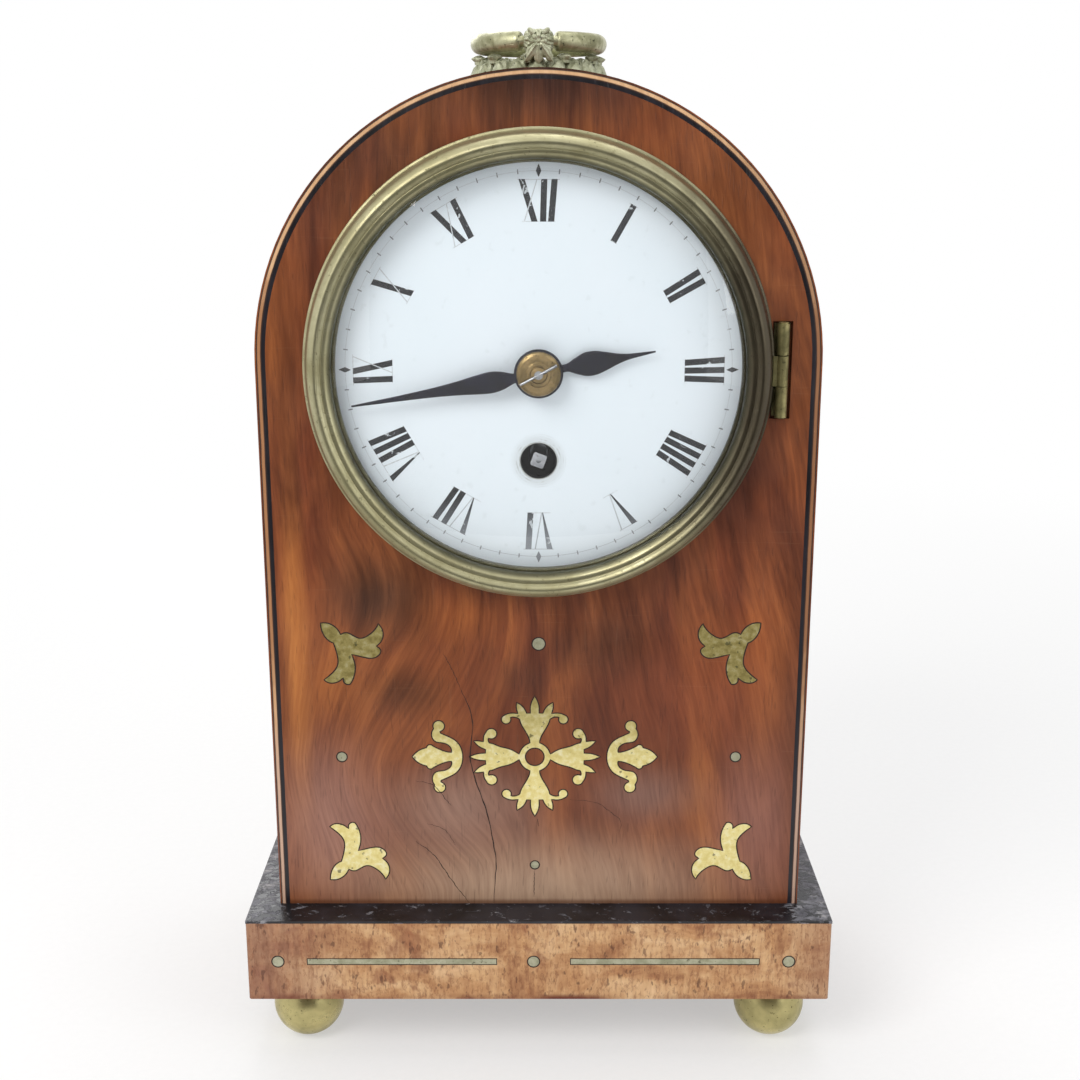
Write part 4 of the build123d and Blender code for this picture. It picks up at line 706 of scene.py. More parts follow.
@dataclass(frozen=True)
class CaseMahogany(Finish):
    """Plainer mahogany for the sides, the bent top and the back door, with grain along the case's outline."""

    name: str = "case mahogany"
    dark: str = "43200f"
    middle: str = "74371d"
    light: str = "935029"
    spring: float = 273.7
    arch_radius: float = 101.6
    arch: bool = True
    roughness: float = 0.32
    pore_code: str = "240f09"
    speck_code: str = "9a7a66"

    def nodes(self, graph: Graph) -> Socket:
        """Straight grain; on the arch the grain's length is measured round the bend."""
        place = graph.place()
        vector = place
        if self.arch:
            x, y, z = graph.axes(place)
            above = graph.less(z, self.spring * MM)
            angle = graph.math("ARCTAN2", above, graph.math("ABSOLUTE", x))
            bend = graph.times(angle, self.arch_radius * MM)
            on_arch = graph.math("GREATER_THAN", above, 0.0)
            run = graph.add("ShaderNodeMix", {0: on_arch, 2: above, 3: bend}).outputs[0]
            sides_apart = graph.times(graph.math("SIGN", x), 0.3)
            vector = graph.combined(sides_apart, y, run)
        grain = grained(graph, vector, 190.0, 20.0)
        tone = graph.plus(graph.times(grain["Streaks"], 0.65), graph.times(grain["Figure"], 0.35))
        colour = graph.ramp(tone, (0.36, self.dark), (0.5, self.middle), (0.66, self.light))
        colour = graph.stained(colour, grain["Pores"], 0.4, self.pore_code)
        old = handled(graph, place, 26.0, 600.0)
        colour = graph.stained(colour, old["Specks"], 0.25, self.speck_code)
        rough = graph.raised(old["Patches"], 0.18, self.roughness)
        height = graph.less(graph.times(grain["Streaks"], 0.6), grain["Pores"])
        return principled(graph, Base_Color=colour, Roughness=rough, Normal=graph.bump(height, 0.00007, 0.6),
                          Coat_Weight=0.2, Coat_Roughness=0.25, Specular_IOR_Level=0.45)


@dataclass(frozen=True)
class PlinthVeneer(Finish):
    """Golden-brown veneer with short burr flecks that stand across the plinth, redder towards its ends."""

    name: str = "plinth veneer"
    half_width: float = 113.5
    edge_low: float = 26.2
    edge_high: float = 28.5
    knot_code: str = "7f4229"
    end_code: str = "8b5f4e"
    fleck_code: str = "7a4426"
    dot_code: str = "4f2a1b"
    edge_code: str = "6d3520"

    def nodes(self, graph: Graph) -> Socket:
        """A mottled gold, flecks in two sizes, red at the ends and in small knots, and a rubbed lower edge."""
        place = graph.place()
        x, _, z = graph.axes(place)
        leaning = graph.mapped(place, (1, 1, 0.42), (0, -14, 0))
        mottle = graph.noise(graph.mapped(place, (0.6, 1, 1)), 70.0, 5.0, 0.62, 0.6)
        colour = graph.ramp(mottle, (0.34, "a06e48"), (0.46, "bd8e62"), (0.55, "cda377"), (0.68, "dab48a"))
        knots = graph.step(graph.noise(place, 48.0, 3.0, 0.6, 0.8), 0.58, 0.68)
        colour = graph.stained(colour, knots, 0.5, self.knot_code)
        left = graph.between(x, -self.half_width, -62.0, 0.72, 0.0)
        right = graph.between(x, 90.0, self.half_width, 0.0, 0.45)
        colour = graph.blend(graph.most(left, right), colour, linear(self.end_code))
        fleck = graph.noise(leaning, 900.0, 4.0, 0.65, 0.5)
        colour = graph.blend(graph.step(fleck, 0.50, 0.62, 0.0, 0.42), colour, linear(self.fleck_code))
        upright = graph.noise(graph.mapped(place, (1, 1, 0.16)), 420.0, 4.0, 0.6, 0.4)
        colour = graph.lit(colour, 0.4, upright, (0.36, "6a605a"), (0.5, "bcb8b4"), (0.64, "ede4d8"))
        dots = graph.step(graph.noise(leaning, 520.0, 2.0, 0.6), 0.63, 0.70)
        colour = graph.stained(colour, dots, 0.6, self.dot_code)
        old = handled(graph, place, 36.0, 420.0)
        edge = graph.between(z, self.edge_low, self.edge_high, 1.0, 0.0)
        colour = graph.blend(graph.times(edge, old["Patches"]), colour, linear(self.edge_code))
        rough = graph.raised(old["Patches"], 0.2, 0.34)
        return principled(graph, Base_Color=colour, Roughness=rough, Normal=graph.bump(fleck, 0.00008, 0.5),
                          Coat_Weight=0.15, Coat_Roughness=0.3, Specular_IOR_Level=0.35)


@dataclass(frozen=True)
class WornEbonising(Finish):
    """Black stain on wood, rubbed to grey in specks and along its edges."""

    name: str = "worn ebonising"
    half_width: float = 113.5

    def nodes(self, graph: Graph) -> Socket:
        """A near-black coat with chips, denser at the ends and on the slope's left."""
        place = graph.place()
        x, _, _ = graph.axes(place)
        old = handled(graph, place, 60.0, 380.0)
        chips = graph.noise(graph.mapped(place, (0.6, 1, 1)), 330.0, 5.0, 0.72, 0.6)
        ends = graph.between(graph.math("ABSOLUTE", x), 88.0, self.half_width, 0.0, 0.14)
        chips = graph.step(graph.plus(chips, ends), 0.585, 0.66)
        grey = graph.noise(place, 150.0, 4.0, 0.6)
        pale = graph.ramp(grey, (0.35, "55545c"), (0.55, "8b8b92"), (0.7, "c9c7c8"))
        colour = graph.blend(graph.times(old["Patches"], 0.55), linear("0e0e12"), linear("34343c"))
        colour = graph.blend(graph.times(chips, 0.75), colour, pale)
        rough = graph.raised(chips, 0.35, 0.3)
        height = graph.less(graph.times(grey, 0.4), chips)
        return principled(graph, Base_Color=colour, Roughness=rough, Normal=graph.bump(height, 0.00018, 0.8),
                          Specular_IOR_Level=0.5)


@dataclass(frozen=True)
class PlainWood(Finish):
    """A straight-grained wood, with the grain along an axis."""

    name: str = "oak"
    dark: str = "5d4228"
    light: str = "a07c52"
    turn: tuple[float, float, float] = (0.0, 90.0, 0.0)
    roughness: float = 0.62

    def nodes(self, graph: Graph) -> Socket:
        """Streaks and pores between two tones."""
        place = graph.mapped(graph.place(), (1, 1, 1), self.turn)
        grain = grained(graph, place, 230.0, 24.0)
        tone = graph.plus(graph.times(grain["Streaks"], 0.7), graph.times(grain["Figure"], 0.3))
        colour = graph.ramp(tone, (0.36, self.dark), (0.64, self.light))
        colour = self.tint(graph, graph.stained(colour, grain["Pores"], 0.5, self.dark))
        old = handled(graph, place, 30.0, 500.0)
        rough = graph.raised(old["Patches"], 0.14, self.roughness)
        height = graph.less(grain["Streaks"], grain["Pores"])
        return principled(graph, Base_Color=colour, Roughness=rough, Normal=graph.bump(height, 0.0001, 0.6))

    def tint(self, graph: Graph, colour: Socket) -> Socket:
        """The colour with wear of its own; plain wood has none."""
        return colour


@dataclass(frozen=True)
class BoxwoodLine(PlainWood):
    """The pale edging: peach over the arch, brown at the sides and darker on the right with painted shade,
    pinkish grey near the foot.
    """

    name: str = "boxwood line"
    dark: str = "c8996c"
    light: str = "e8bd92"
    roughness: float = 0.42
    spring: float = 273.7
    outer: float = 101.1
    inner: float = 99.1
    worn: float = 0.45
    side_shade_code: str = "9c6236"
    right_code: str = "6b3d22"
    foot_code: str = "c0a193"
    edge_code: str = "35201a"

    def tint(self, graph: Graph, colour: Socket) -> Socket:
        """Browner at the sides and darker on the right with painted shade, greyer below, and dark along both of
        its edges.

        The distance from the case's middle is X beside the spring and the radius of the arch above it.
        """
        place = graph.place()
        x, _, z = graph.axes(place)
        uneven = graph.swing(graph.noise(place, 60.0, 3.0, 0.6), 0.05)
        height = graph.plus(z, uneven)
        # painted shade: the sides browned between the foot and the spring
        side = graph.times(graph.between(height, 315.0, 285.0), graph.between(height, 135.0, 175.0))
        colour = graph.stained(colour, side, 0.8, self.side_shade_code)
        # painted shade: the right side darker
        colour = graph.stained(colour, graph.between(x, 50.0, 90.0), 0.45, self.right_code)
        colour = graph.blend(graph.between(height, 150.0, 110.0, 0.0, 0.65), colour, linear(self.foot_code))
        above = graph.most(graph.less(z, self.spring * MM), 0.0)
        out = graph.math("SQRT", graph.plus(graph.times(x, x), graph.times(above, above)))
        out = graph.plus(out, graph.times(uneven, 0.008))
        soft, edge, inside = self.worn / 2, self.outer - self.worn, self.inner + self.worn
        edge = graph.between(out, edge - soft, edge + soft)
        inside = graph.between(out, inside - soft, inside + soft, 1.0, 0.0)
        return graph.blend(graph.most(edge, inside), colour, linear(self.edge_code))


@dataclass(frozen=True)
class AgedBrass(Finish):
    """Brass under tarnish: a clean metal, an olive film in patches, dark specks and rubbed bright spots."""

    name: str = "aged brass"
    clean: str = "c2b27a"
    film: str = "7d7446"
    dark: str = "3f3a22"
    film_share: float = 0.6
    metal: float = 0.9
    roughness: float = 0.3
    patch_scale: float = 60.0
    speck_scale: float = 800.0
    speck_share: float = 0.6
    bump: float = 0.00006

    def nodes(self, graph: Graph) -> Socket:
        """Patches of film over the metal, and specks over both."""
        place = graph.place()
        old = handled(graph, place, self.patch_scale, self.speck_scale)
        film = graph.times(old["Patches"], self.film_share)
        colour = graph.blend(film, linear(self.clean), linear(self.film))
        fine = graph.noise(place, self.patch_scale * 7, 3.0, 0.6)
        colour = graph.blend(graph.step(fine, 0.45, 0.72, 0.0, 0.3), colour, linear(self.film))
        colour = graph.blend(graph.times(old["Specks"], self.speck_share), colour, linear(self.dark))
        colour = self.stain(graph, place, colour)
        rough = graph.raised(old["Patches"], 0.18, self.roughness)
        rough = graph.plus(rough, graph.times(old["Specks"], 0.2))
        height = graph.less(graph.times(fine, 0.5), old["Scratches"])
        return principled(graph, Base_Color=colour, Metallic=self.metal, Roughness=rough,
                          Normal=graph.bump(height, self.bump, 0.7))

    def stain(self, graph: Graph, place: Socket, colour: Socket) -> Socket:
        """The colour with whatever darkens one part of the piece; plain brass has nothing more."""
        return colour


@dataclass(frozen=True)
class BezelBrass(AgedBrass):
    """The bezel's brass, with painted shade: browner and darker on the hinge's side, and dark in the hollow
    beside the glass.
    """

    name: str = "bezel brass"
    sight_radius: float = 75.4
    centre_z: float = 271.5
    hinge_code: str = "392f26"
    hollow_shade_code: str = "3b3a2c"

    def stain(self, graph: Graph, place: Socket, colour: Socket) -> Socket:
        """Painted shade that browns and darkens the bezel towards the hinge on the right, and a painted shade
        line inside the moulding.
        """
        x, _, _ = graph.axes(place)
        side = graph.plus(x, graph.swing(graph.noise(place, 28.0, 3.0, 0.6), 0.05))
        # painted shade: the right side, where the hinge is, browned and darkened
        colour = graph.blend(graph.between(side, 24.0, 78.0, 0.0, 0.9), colour, linear(self.hinge_code))
        radius = graph.from_axis(place, (0.0, self.centre_z))
        # painted shade: a dark line in the hollow beside the glass
        hollow = graph.between(radius, self.sight_radius - 1.3, self.sight_radius, 0.75, 0.0)
        return graph.blend(hollow, colour, linear(self.hollow_shade_code))


@dataclass(frozen=True)
class ShadedPlateBrass(AgedBrass):
    """The front plate's brass, with painted shade in black behind the winding hole."""

    name: str = "shaded brass"
    hole: tuple[float, float] = (0.0, 239.0)
    reach: float = 16.0
    hole_shade: str = "050505"

    def stain(self, graph: Graph, place: Socket, colour: Socket) -> Socket:
        """Painted shade: black near the winding arbor."""
        # painted shade: the plate turned black round the winding arbor
        spot = graph.within(place, self.hole, (self.reach, self.reach), 0.4)
        return graph.blend(spot, colour, linear(self.hole_shade))


@dataclass(frozen=True)
class InlayBrass(Finish):
    """Flat inlay: bright yellow low on the front, olive above, with small green-black pits."""

    name: str = "inlay brass"
    change_low: float = 112.0
    change_high: float = 160.0
    pit_code: str = "3d3f25"

    def nodes(self, graph: Graph) -> Socket:
        """Two tones blended by height, with mottling and pits."""
        place = graph.place()
        _, _, z = graph.axes(place)
        old = handled(graph, place, 120.0, 430.0)
        mottle = graph.noise(place, 420.0, 4.0, 0.6)
        bright = graph.ramp(mottle, (0.35, "e4d284"), (0.52, "efe09a"), (0.7, "f8efc2"))
        dull = graph.ramp(mottle, (0.35, "80733c"), (0.52, "9a8d53"), (0.72, "b0a67a"))
        colour = graph.blend(graph.between(z, self.change_low, self.change_high), bright, dull)
        colour = graph.stained(colour, old["Specks"], 0.7, self.pit_code)
        rough = graph.raised(mottle, 0.25, 0.32)
        height = graph.less(mottle, old["Specks"])
        return principled(graph, Base_Color=colour, Metallic=0.25, Roughness=rough,
                          Normal=graph.bump(height, 0.00006, 0.5))


@dataclass(frozen=True)
class Enamel(Finish):
    """White convex enamel, with a worn grey ring round the winding hole, faint rings of scratches, and painted
    shade in black at the hole's edge.
    """

    name: str = "white enamel"
    hole: tuple[float, float] = (0.0, 238.975)
    white: str = "e6f0f7"
    cool: str = "dfecf3"
    speck: str = "aab4b4"
    rubbed: str = "8d9088"
    hole_shade_black: str = "0b0b0c"
    ring_turns: float = 3300.0

    def nodes(self, graph: Graph) -> Socket:
        """A cool white, greyed near the winding hole by broken rings."""
        place = graph.place()
        distance = graph.from_axis(place, self.hole)
        break_up = graph.noise(place, 260.0, 4.0, 0.65, 0.5)
        wobble = graph.plus(distance, graph.swing(break_up, 0.0016))
        inner = graph.times(graph.between(wobble, 6.6, 7.4, 1.0, 0.0), 0.8)
        rub = graph.times(graph.between(wobble, 7.4, 10.8, 1.0, 0.0), 0.22)
        rings = graph.math("ABSOLUTE", graph.math("SINE", graph.times(wobble, self.ring_turns)))
        rings = graph.times(graph.step(rings, 0.72, 1.0), graph.between(wobble, 7.0, 11.2, 0.8, 0.0))
        rings = graph.times(rings, graph.step(break_up, 0.42, 0.58))
        worn = graph.most(graph.most(inner, rub), rings)
        old = handled(graph, place, 18.0, 260.0)
        white = graph.stained(linear(self.white), old["Patches"], 0.35, self.cool)
        white = graph.stained(white, old["Specks"], 0.10, self.speck)
        colour = graph.blend(worn, white, linear(self.rubbed))
        # painted shade: black at the edge of the winding hole
        hole = graph.between(distance, 6.55, 6.72, 1.0, 0.0)
        colour = graph.blend(hole, colour, linear(self.hole_shade_black))
        rough = graph.raised(worn, 0.4, 0.18)
        return principled(graph, Base_Color=colour, Roughness=rough, Specular_IOR_Level=0.45,
                          Normal=graph.bump(worn, 0.00004, 0.5))


@dataclass(frozen=True)
class ClearGlass(Finish):
    """Clear glass that lets the lamps' light through, with faint smears."""

    name: str = "clear glass"

    def nodes(self, graph: Graph) -> Socket:
        """Refraction for what is seen through it, and plain transparency for shadow and bounced rays."""
        place = graph.place()
        smear = graph.noise(place, 30.0, 4.0, 0.6)
        rough = graph.step(smear, 0.55, 0.8, 0.0, 0.035)
        glass = principled(graph, Base_Color=WHITE, Roughness=rough, Transmission_Weight=1.0, IOR=1.45)
        clear = graph.add("ShaderNodeBsdfTransparent", {0: WHITE}).outputs[0]
        ray = graph.add("ShaderNodeLightPath", {})
        passing = graph.most(ray.outputs["Is Shadow Ray"], ray.outputs["Is Diffuse Ray"])
        return graph.add("ShaderNodeMixShader", {0: passing, 1: glass, 2: clear}).outputs[0]


@dataclass(frozen=True)
class Steel(Finish):
    """Steel: bright, or blued almost to black."""

    name: str = "steel"
    light: str = "b9bcc0"
    shade: str = "7c7f84"
    metal: float = 1.0
    roughness: float = 0.3
    rust: str = "4a3b30"

    def nodes(self, graph: Graph) -> Socket:
        """Two close tones with fine scratches."""
        place = graph.place()
        old = handled(graph, place, 90.0, 900.0)
        colour = graph.blend(old["Patches"], linear(self.light), linear(self.shade))
        colour = graph.stained(colour, old["Specks"], 0.4, self.rust)
        rough = graph.raised(old["Patches"], 0.15, self.roughness)
        height = graph.times(old["Scratches"], -1.0)
        return principled(graph, Base_Color=colour, Metallic=self.metal, Roughness=rough,
                          Normal=graph.bump(height, 0.00003, 0.5))


@dataclass(frozen=True)
class Ink(Finish):
    """Fired black paint on the dial, or its faded remains."""

    name: str = "dial black"
    full: str = "0f1116"
    thin: str = "32363e"
    loss: float = 0.12
    gaps: float = 0.7
    rubbed: float = 0.75
    whole_height: float = 226.0
    rubbed_height: float = 203.0
    rubbed_code: str = "9ba2aa"
    bare_code: str = "dfe8ee"

    def nodes(self, graph: Graph) -> Socket:
        """Black with small losses to grey, gaps down to the enamel, and rubbed grey near the dial's foot."""
        place = graph.place()
        _, _, z = graph.axes(place)
        lost = graph.step(graph.noise(place, 900.0, 3.0, 0.6), 0.66 - self.loss, 0.72)
        colour = graph.blend(lost, linear(self.full), linear(self.thin))
        low = graph.between(z, self.rubbed_height, self.whole_height, self.rubbed, 0.0)
        colour = graph.blend(low, colour, linear(self.rubbed_code))
        chipped = graph.step(graph.noise(place, 260.0, 3.0, 0.6, 0.8), 0.655, 0.675, 0.0, self.gaps)
        colour = graph.blend(chipped, colour, linear(self.bare_code))
        rough = graph.raised(lost, 0.3, 0.3)
        return principled(graph, Base_Color=colour, Roughness=rough)


@dataclass(frozen=True)
class Grime(Finish):
    """Dark filler and dirt beside the inlay and in the cracks."""

    name: str = "grime"
    code: str = "1d0f0a"
    paler: str = "3a2015"

    def nodes(self, graph: Graph) -> Socket:
        """Nearly black brown, a little uneven."""
        uneven = graph.step(graph.noise(graph.place(), 500.0, 3.0, 0.6), 0.4, 0.7)
        colour = graph.blend(uneven, linear(self.code), linear(self.paler))
        return principled(graph, Base_Color=colour, Roughness=graph.raised(uneven, 0.2, 0.6))


@dataclass(frozen=True)
class Gut(Finish):
    """Gut line: amber, twisted, a little see-through."""

    name: str = "gut"

    def nodes(self, graph: Graph) -> Socket:
        """Amber with fine diagonal strands."""
        place = graph.place()
        strand = graph.noise(graph.mapped(place, (1, 0.25, 1), (0, 0, 35)), 900.0, 2.0, 0.5)
        colour = graph.ramp(strand, (0.35, "7b5428"), (0.6, "b98b4e"), (0.75, "d2ac72"))
        return principled(graph, Base_Color=colour, Roughness=graph.step(strand, 0.3, 0.8, 0.4, 0.55),
                          Normal=graph.bump(strand, 0.00006, 0.7))


@dataclass(frozen=True)
class PaleFloor(Finish):
    """The pale floor: lit near the object, so that it keeps the shadow, and plain white far from it."""

    name: str = "pale floor"
    near_white: float = 0.45

    def nodes(self, graph: Graph) -> Socket:
        """A diffuse white, with plain white added by distance for the rays that show the background."""
        place = graph.place()
        far = FloorDistance().put(graph, {"Vector": place})["Far Share"]
        paper = graph.noise(place, 300.0, 3.0, 0.6)
        colour = graph.ramp(paper, (0.0, "f2f2f2"), (1.0, "fafafa"))
        lit = principled(graph, Base_Color=colour, Roughness=0.9, Specular_IOR_Level=0.1)
        white = graph.add("ShaderNodeEmission", {"Color": WHITE, "Strength": 1.0}).outputs[0]
        share = graph.times(graph.background_rays(), graph.raised(far, 1.0 - self.near_white, self.near_white))
        return graph.add("ShaderNodeMixShader", {0: share, 1: lit, 2: white}).outputs[0]


@dataclass(frozen=True)
class DarkCard(Finish):
    """The dark card that stands behind the camera, which only reflections see."""

    name: str = "dark card"

    def nodes(self, graph: Graph) -> Socket:
        """A dull grey."""
        return principled(graph, Base_Color=linear("232323"), Roughness=1.0)


class Finishes(Enum):
    """The finishes of the clock, by the record's material slot or by use."""

    MAHOGANY = FlameMahogany()
    MAHOGANY_SIDE = CaseMahogany()
    DOOR_MAHOGANY = CaseMahogany(
        name="door mahogany", dark="3a1a0e", middle="663019", light="84461f", arch=False)
    PLINTH_VENEER = PlinthVeneer()
    EBONISED = WornEbonising()
    OAK = PlainWood()
    BACK_OAK = PlainWood(name="back oak", turn=(0.0, 0.0, 0.0), dark="4d3320", light="83603c")
    BOXWOOD = BoxwoodLine(turn=(0.0, 0.0, 0.0))
    EBONY = PlainWood(name="ebony", dark="0b0a0c", light="26222a", turn=(0.0, 0.0, 0.0), roughness=0.35)
    BEZEL_BRASS = BezelBrass(
        clean="b9b491", film="837c57", dark="3c3820", film_share=0.65, metal=0.8, roughness=0.3,
        patch_scale=26.0, speck_share=0.35)
    HINGE_BRASS = AgedBrass(
        name="hinge brass", clean="a39a6a", film="5f5a3a", dark="2a2718", film_share=0.9, metal=0.7,
        roughness=0.4, patch_scale=120.0, speck_scale=500.0, bump=0.0001)
    ROUNDEL_BRASS = AgedBrass(
        name="roundel brass", clean="b9b79d", film="8f8e72", dark="4c4a38", film_share=0.7, metal=0.45,
        roughness=0.4, patch_scale=200.0)
    BOSS_BRASS = AgedBrass(
        name="boss brass", clean="957f56", film="665632", dark="2b2317", film_share=0.8, metal=0.8,
        roughness=0.3, patch_scale=180.0, bump=0.0001)
    FRONT_PLATE = ShadedPlateBrass(clean="c9ab62", film="8f7540", dark="3a2f1c", metal=0.9, patch_scale=40.0)
    BRASS = AgedBrass(
        name="handle brass", clean="bdbc9a", film="7d7c5a", dark="2e2f1c", film_share=0.85, metal=0.7,
        roughness=0.36, patch_scale=140.0, speck_scale=700.0, speck_share=0.8, bump=0.00012)
    FOLIAGE_BRASS = AgedBrass(
        name="foliage brass", clean="b9bba0", film="85886a", dark="23251a", film_share=0.9, metal=0.45,
        roughness=0.45, patch_scale=220.0, speck_scale=520.0, speck_share=0.9, bump=0.0002)
    FOOT_BRASS = AgedBrass(
        name="foot brass", clean="c6ba82", film="8f875a", dark="45401f", film_share=0.75, metal=0.75,
        roughness=0.27, patch_scale=46.0)
    MOVEMENT_BRASS = AgedBrass(
        name="movement brass", clean="d3b46a", film="a78a4a", dark="5b4a26", film_share=0.5, metal=1.0,
        roughness=0.24, patch_scale=50.0, speck_share=0.3)
    INLAY_BRASS = InlayBrass()
    ENAMEL = Enamel()
    GLASS = ClearGlass()
    STEEL = Steel()
    BLUED_STEEL = Steel(name="blued steel", light="1b1c2b", shade="0c0c14", metal=0.5, roughness=0.28)
    INK = Ink()
    FADED_INK = Ink(name="faded dial black", full="bcc3c8", thin="d6dde1", loss=0.2)
    GREY_INK = Ink(name="grey dial black", full="767c82", thin="a8aeb3", loss=0.16)
    GRIME = Grime()
    GUT = Gut()


SLOTS_WITH_A_FINISH = (
    "mahogany", "mahogany_side", "plinth_veneer", "ebonised", "oak", "boxwood", "ebony", "bezel_brass", "brass",
    "movement_brass", "inlay_brass", "enamel", "glass", "steel", "blued_steel", "gut",
)

SLOT_FINISHES = {slot: Finishes[slot.upper()] for slot in SLOTS_WITH_A_FINISH}

HINGE_NODES = (
    "bezel_hinge_fixed_leaf", "bezel_hinge_moving_leaf", "bezel_hinge_pin", "back_hinge_fixed_leaves",
    "back_hinge_moving_leaves",
)

NODE_FINISHES = {
    "back_door_frame": Finishes.DOOR_MAHOGANY, "back_frame": Finishes.BACK_OAK,
    "hand_boss": Finishes.BOSS_BRASS, "front_plate": Finishes.FRONT_PLATE,
    "brass_roundels": Finishes.ROUNDEL_BRASS, **dict.fromkeys(HINGE_NODES, Finishes.HINGE_BRASS),
}


def dress_frame() -> None:
    """Give each CAD node the finish of its material slot, or its own."""
    for name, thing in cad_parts.items():
        for slot in thing.material_slots:
            base = slot.material.name.split(".")[0]
            slot.material = NODE_FINISHES.get(name, SLOT_FINISHES[base]).value.material()
        log.info("dressed %s", name)


@dataclass
class Assembly:
    """Pieces that are made together and ride on one CAD body."""

    body: str

    def add(self, name: str, shell: Shell, finish: Finishes, slot: str, replaces: Sequence[str] = (),
            crease: float = 35.0) -> None:
        """Make a piece, dress it and let it ride.

        Args:
            name: The piece's name.
            shell: Its surface in millimetres.
            finish: Its finish.
            slot: The record's material slot that the finish stands for; it is not used.
            replaces: The CAD nodes that it stands for.
            crease: The angle in degrees past which an edge stays sharp.
        """
        thing = mesh_object(name, shell, crease)
        thing.data.materials.append(finish.value.material())
        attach(thing, self.body)
        if replaces:
            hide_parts(*replaces)
        log.info("made %s with %d faces", name, len(thing.data.polygons))

    def build(self) -> None:
        """Make the assembly's pieces."""
        raise NotImplementedError


@dataclass
class Feet(Assembly):
    """The four turned ball feet."""

    body: str = "case"
    radius: float = 14.0
    flat_radius: float = 3.0
    collar_radius: float = 5.4
    collar_height: float = 25.2
    neck_radius: float = 4.0
    segments: int = 96

    def build(self) -> None:
        """A ball from its flat to the plinth, with a fine turned collar where it meets the wood."""
        low, high = box_mm("ball_feet")
        rise = math.sqrt(self.radius**2 - self.flat_radius**2)
        end = math.asin((self.collar_height - rise) / self.radius)
        bend = np.linspace(-math.asin(rise / self.radius), end, 64)
        ball = np.stack([self.radius * np.cos(bend), rise + self.radius * np.sin(bend)], axis=1)
        top, neck_radius = high[2], self.neck_radius
        neck = np.array([(self.collar_radius, self.collar_height + 0.6), (neck_radius, self.collar_height + 0.9),
                         (neck_radius, top), (0, top)])
        profile = np.vstack([[(0.0, 0.0), (self.flat_radius * 0.98, 0.0)], ball, neck])
        places = [(x, y, 0.0) for x in (low[0] + self.radius, high[0] - self.radius)
                  for y in (low[1] + self.radius, high[1] - self.radius)]
        shell = joined(turned(profile, place, "z", self.segments, closed=False) for place in places)
        self.add("turned_feet", shell, Finishes.FOOT_BRASS, "brass", ["ball_feet"])


@dataclass
class Bezel(Assembly):
    """The moulded bezel and its glass, which swing on the hinge."""

    body: str = "bezel_door"
    segments: int = 320
    glass_rise: float = 10.0
    glass_thickness: float = 2.0
    sight_lip: float = 1.1

    def build(self) -> None:
        """Turn the bezel and the glass about the dial's axis."""
        low, high = box_mm("bezel_ring")
        glass_low, glass_high = box_mm("bezel_glass")
        front = glass_high[1] + self.glass_thickness
        outer = (high[2] - low[2]) / 2
        rim = (glass_high[2] - glass_low[2]) / 2
        place = (0.0, 0.0, middle_mm("bezel_ring")[2])
        moulding = turned(self.profile(outer, rim, high[1], low[1], front), place, "y", self.segments)
        self.add("bezel", moulding, Finishes.BEZEL_BRASS, "bezel_brass", ["bezel_ring"], crease=40.0)
        self.add("domed_glass", self.glass(rim, front, place), Finishes.GLASS, "glass", ["bezel_glass"])

    def profile(self, outer: float, rim: float, back: float, top: float, glass_y: float) -> Array:
        """The moulding in section: a fillet, a half-round, a hollow and a small bead beside the glass.

        Args:
            outer: The outside radius.
            rim: The glass's radius.
            back: The Y of the back.
            top: The Y of the crown.
            glass_y: The Y of the glass's rim.

        Returns:
            The closed profile as (radius, y).
        """
        sight = rim - self.sight_lip
        lip = glass_y - 4.4
        fillet = [(outer, back), (outer, back - 1.5), (outer - 0.35, back - 1.85), (outer - 0.9, back - 1.95)]
        round_side = smooth_profile([
            (outer - 0.9, back - 2.0), (outer - 1.3, back - 4.4), (outer - 2.2, top + 2.5),
            (outer - 3.6, top + 0.75), (outer - 5.0, top), (outer - 6.3, top + 0.45), (outer - 7.2, top + 1.35),
        ], 8)
        bead = smooth_profile([
            (outer - 7.3, top + 1.45), (outer - 7.7, top + 1.3), (outer - 8.7, top + 1.5),
            (outer - 9.5, top + 2.1), (sight + 0.3, top + 3.2), (sight, lip + 0.2),
        ], 6)
        inside = [(sight, glass_y - 2.4), (rim + 0.1, glass_y - 2.4), (rim + 0.1, back)]
        return np.vstack([fillet, round_side, bead, inside])

    def glass(self, rim: float, rim_y: float, place: Sequence[float]) -> Shell:
        """The glass: two equal domes, one behind the other, joined at the rim."""
        inner = Dome(rim_y - self.glass_thickness, self.glass_rise, rim)
        radius = rim * np.sin(np.linspace(0, np.pi / 2, 60))
        inside = np.stack([radius, inner.depth(radius)], axis=1)
        outside = inside[::-1] - np.array([0.0, self.glass_thickness])
        return turned(np.vstack([inside, outside]), place, "y", self.segments)


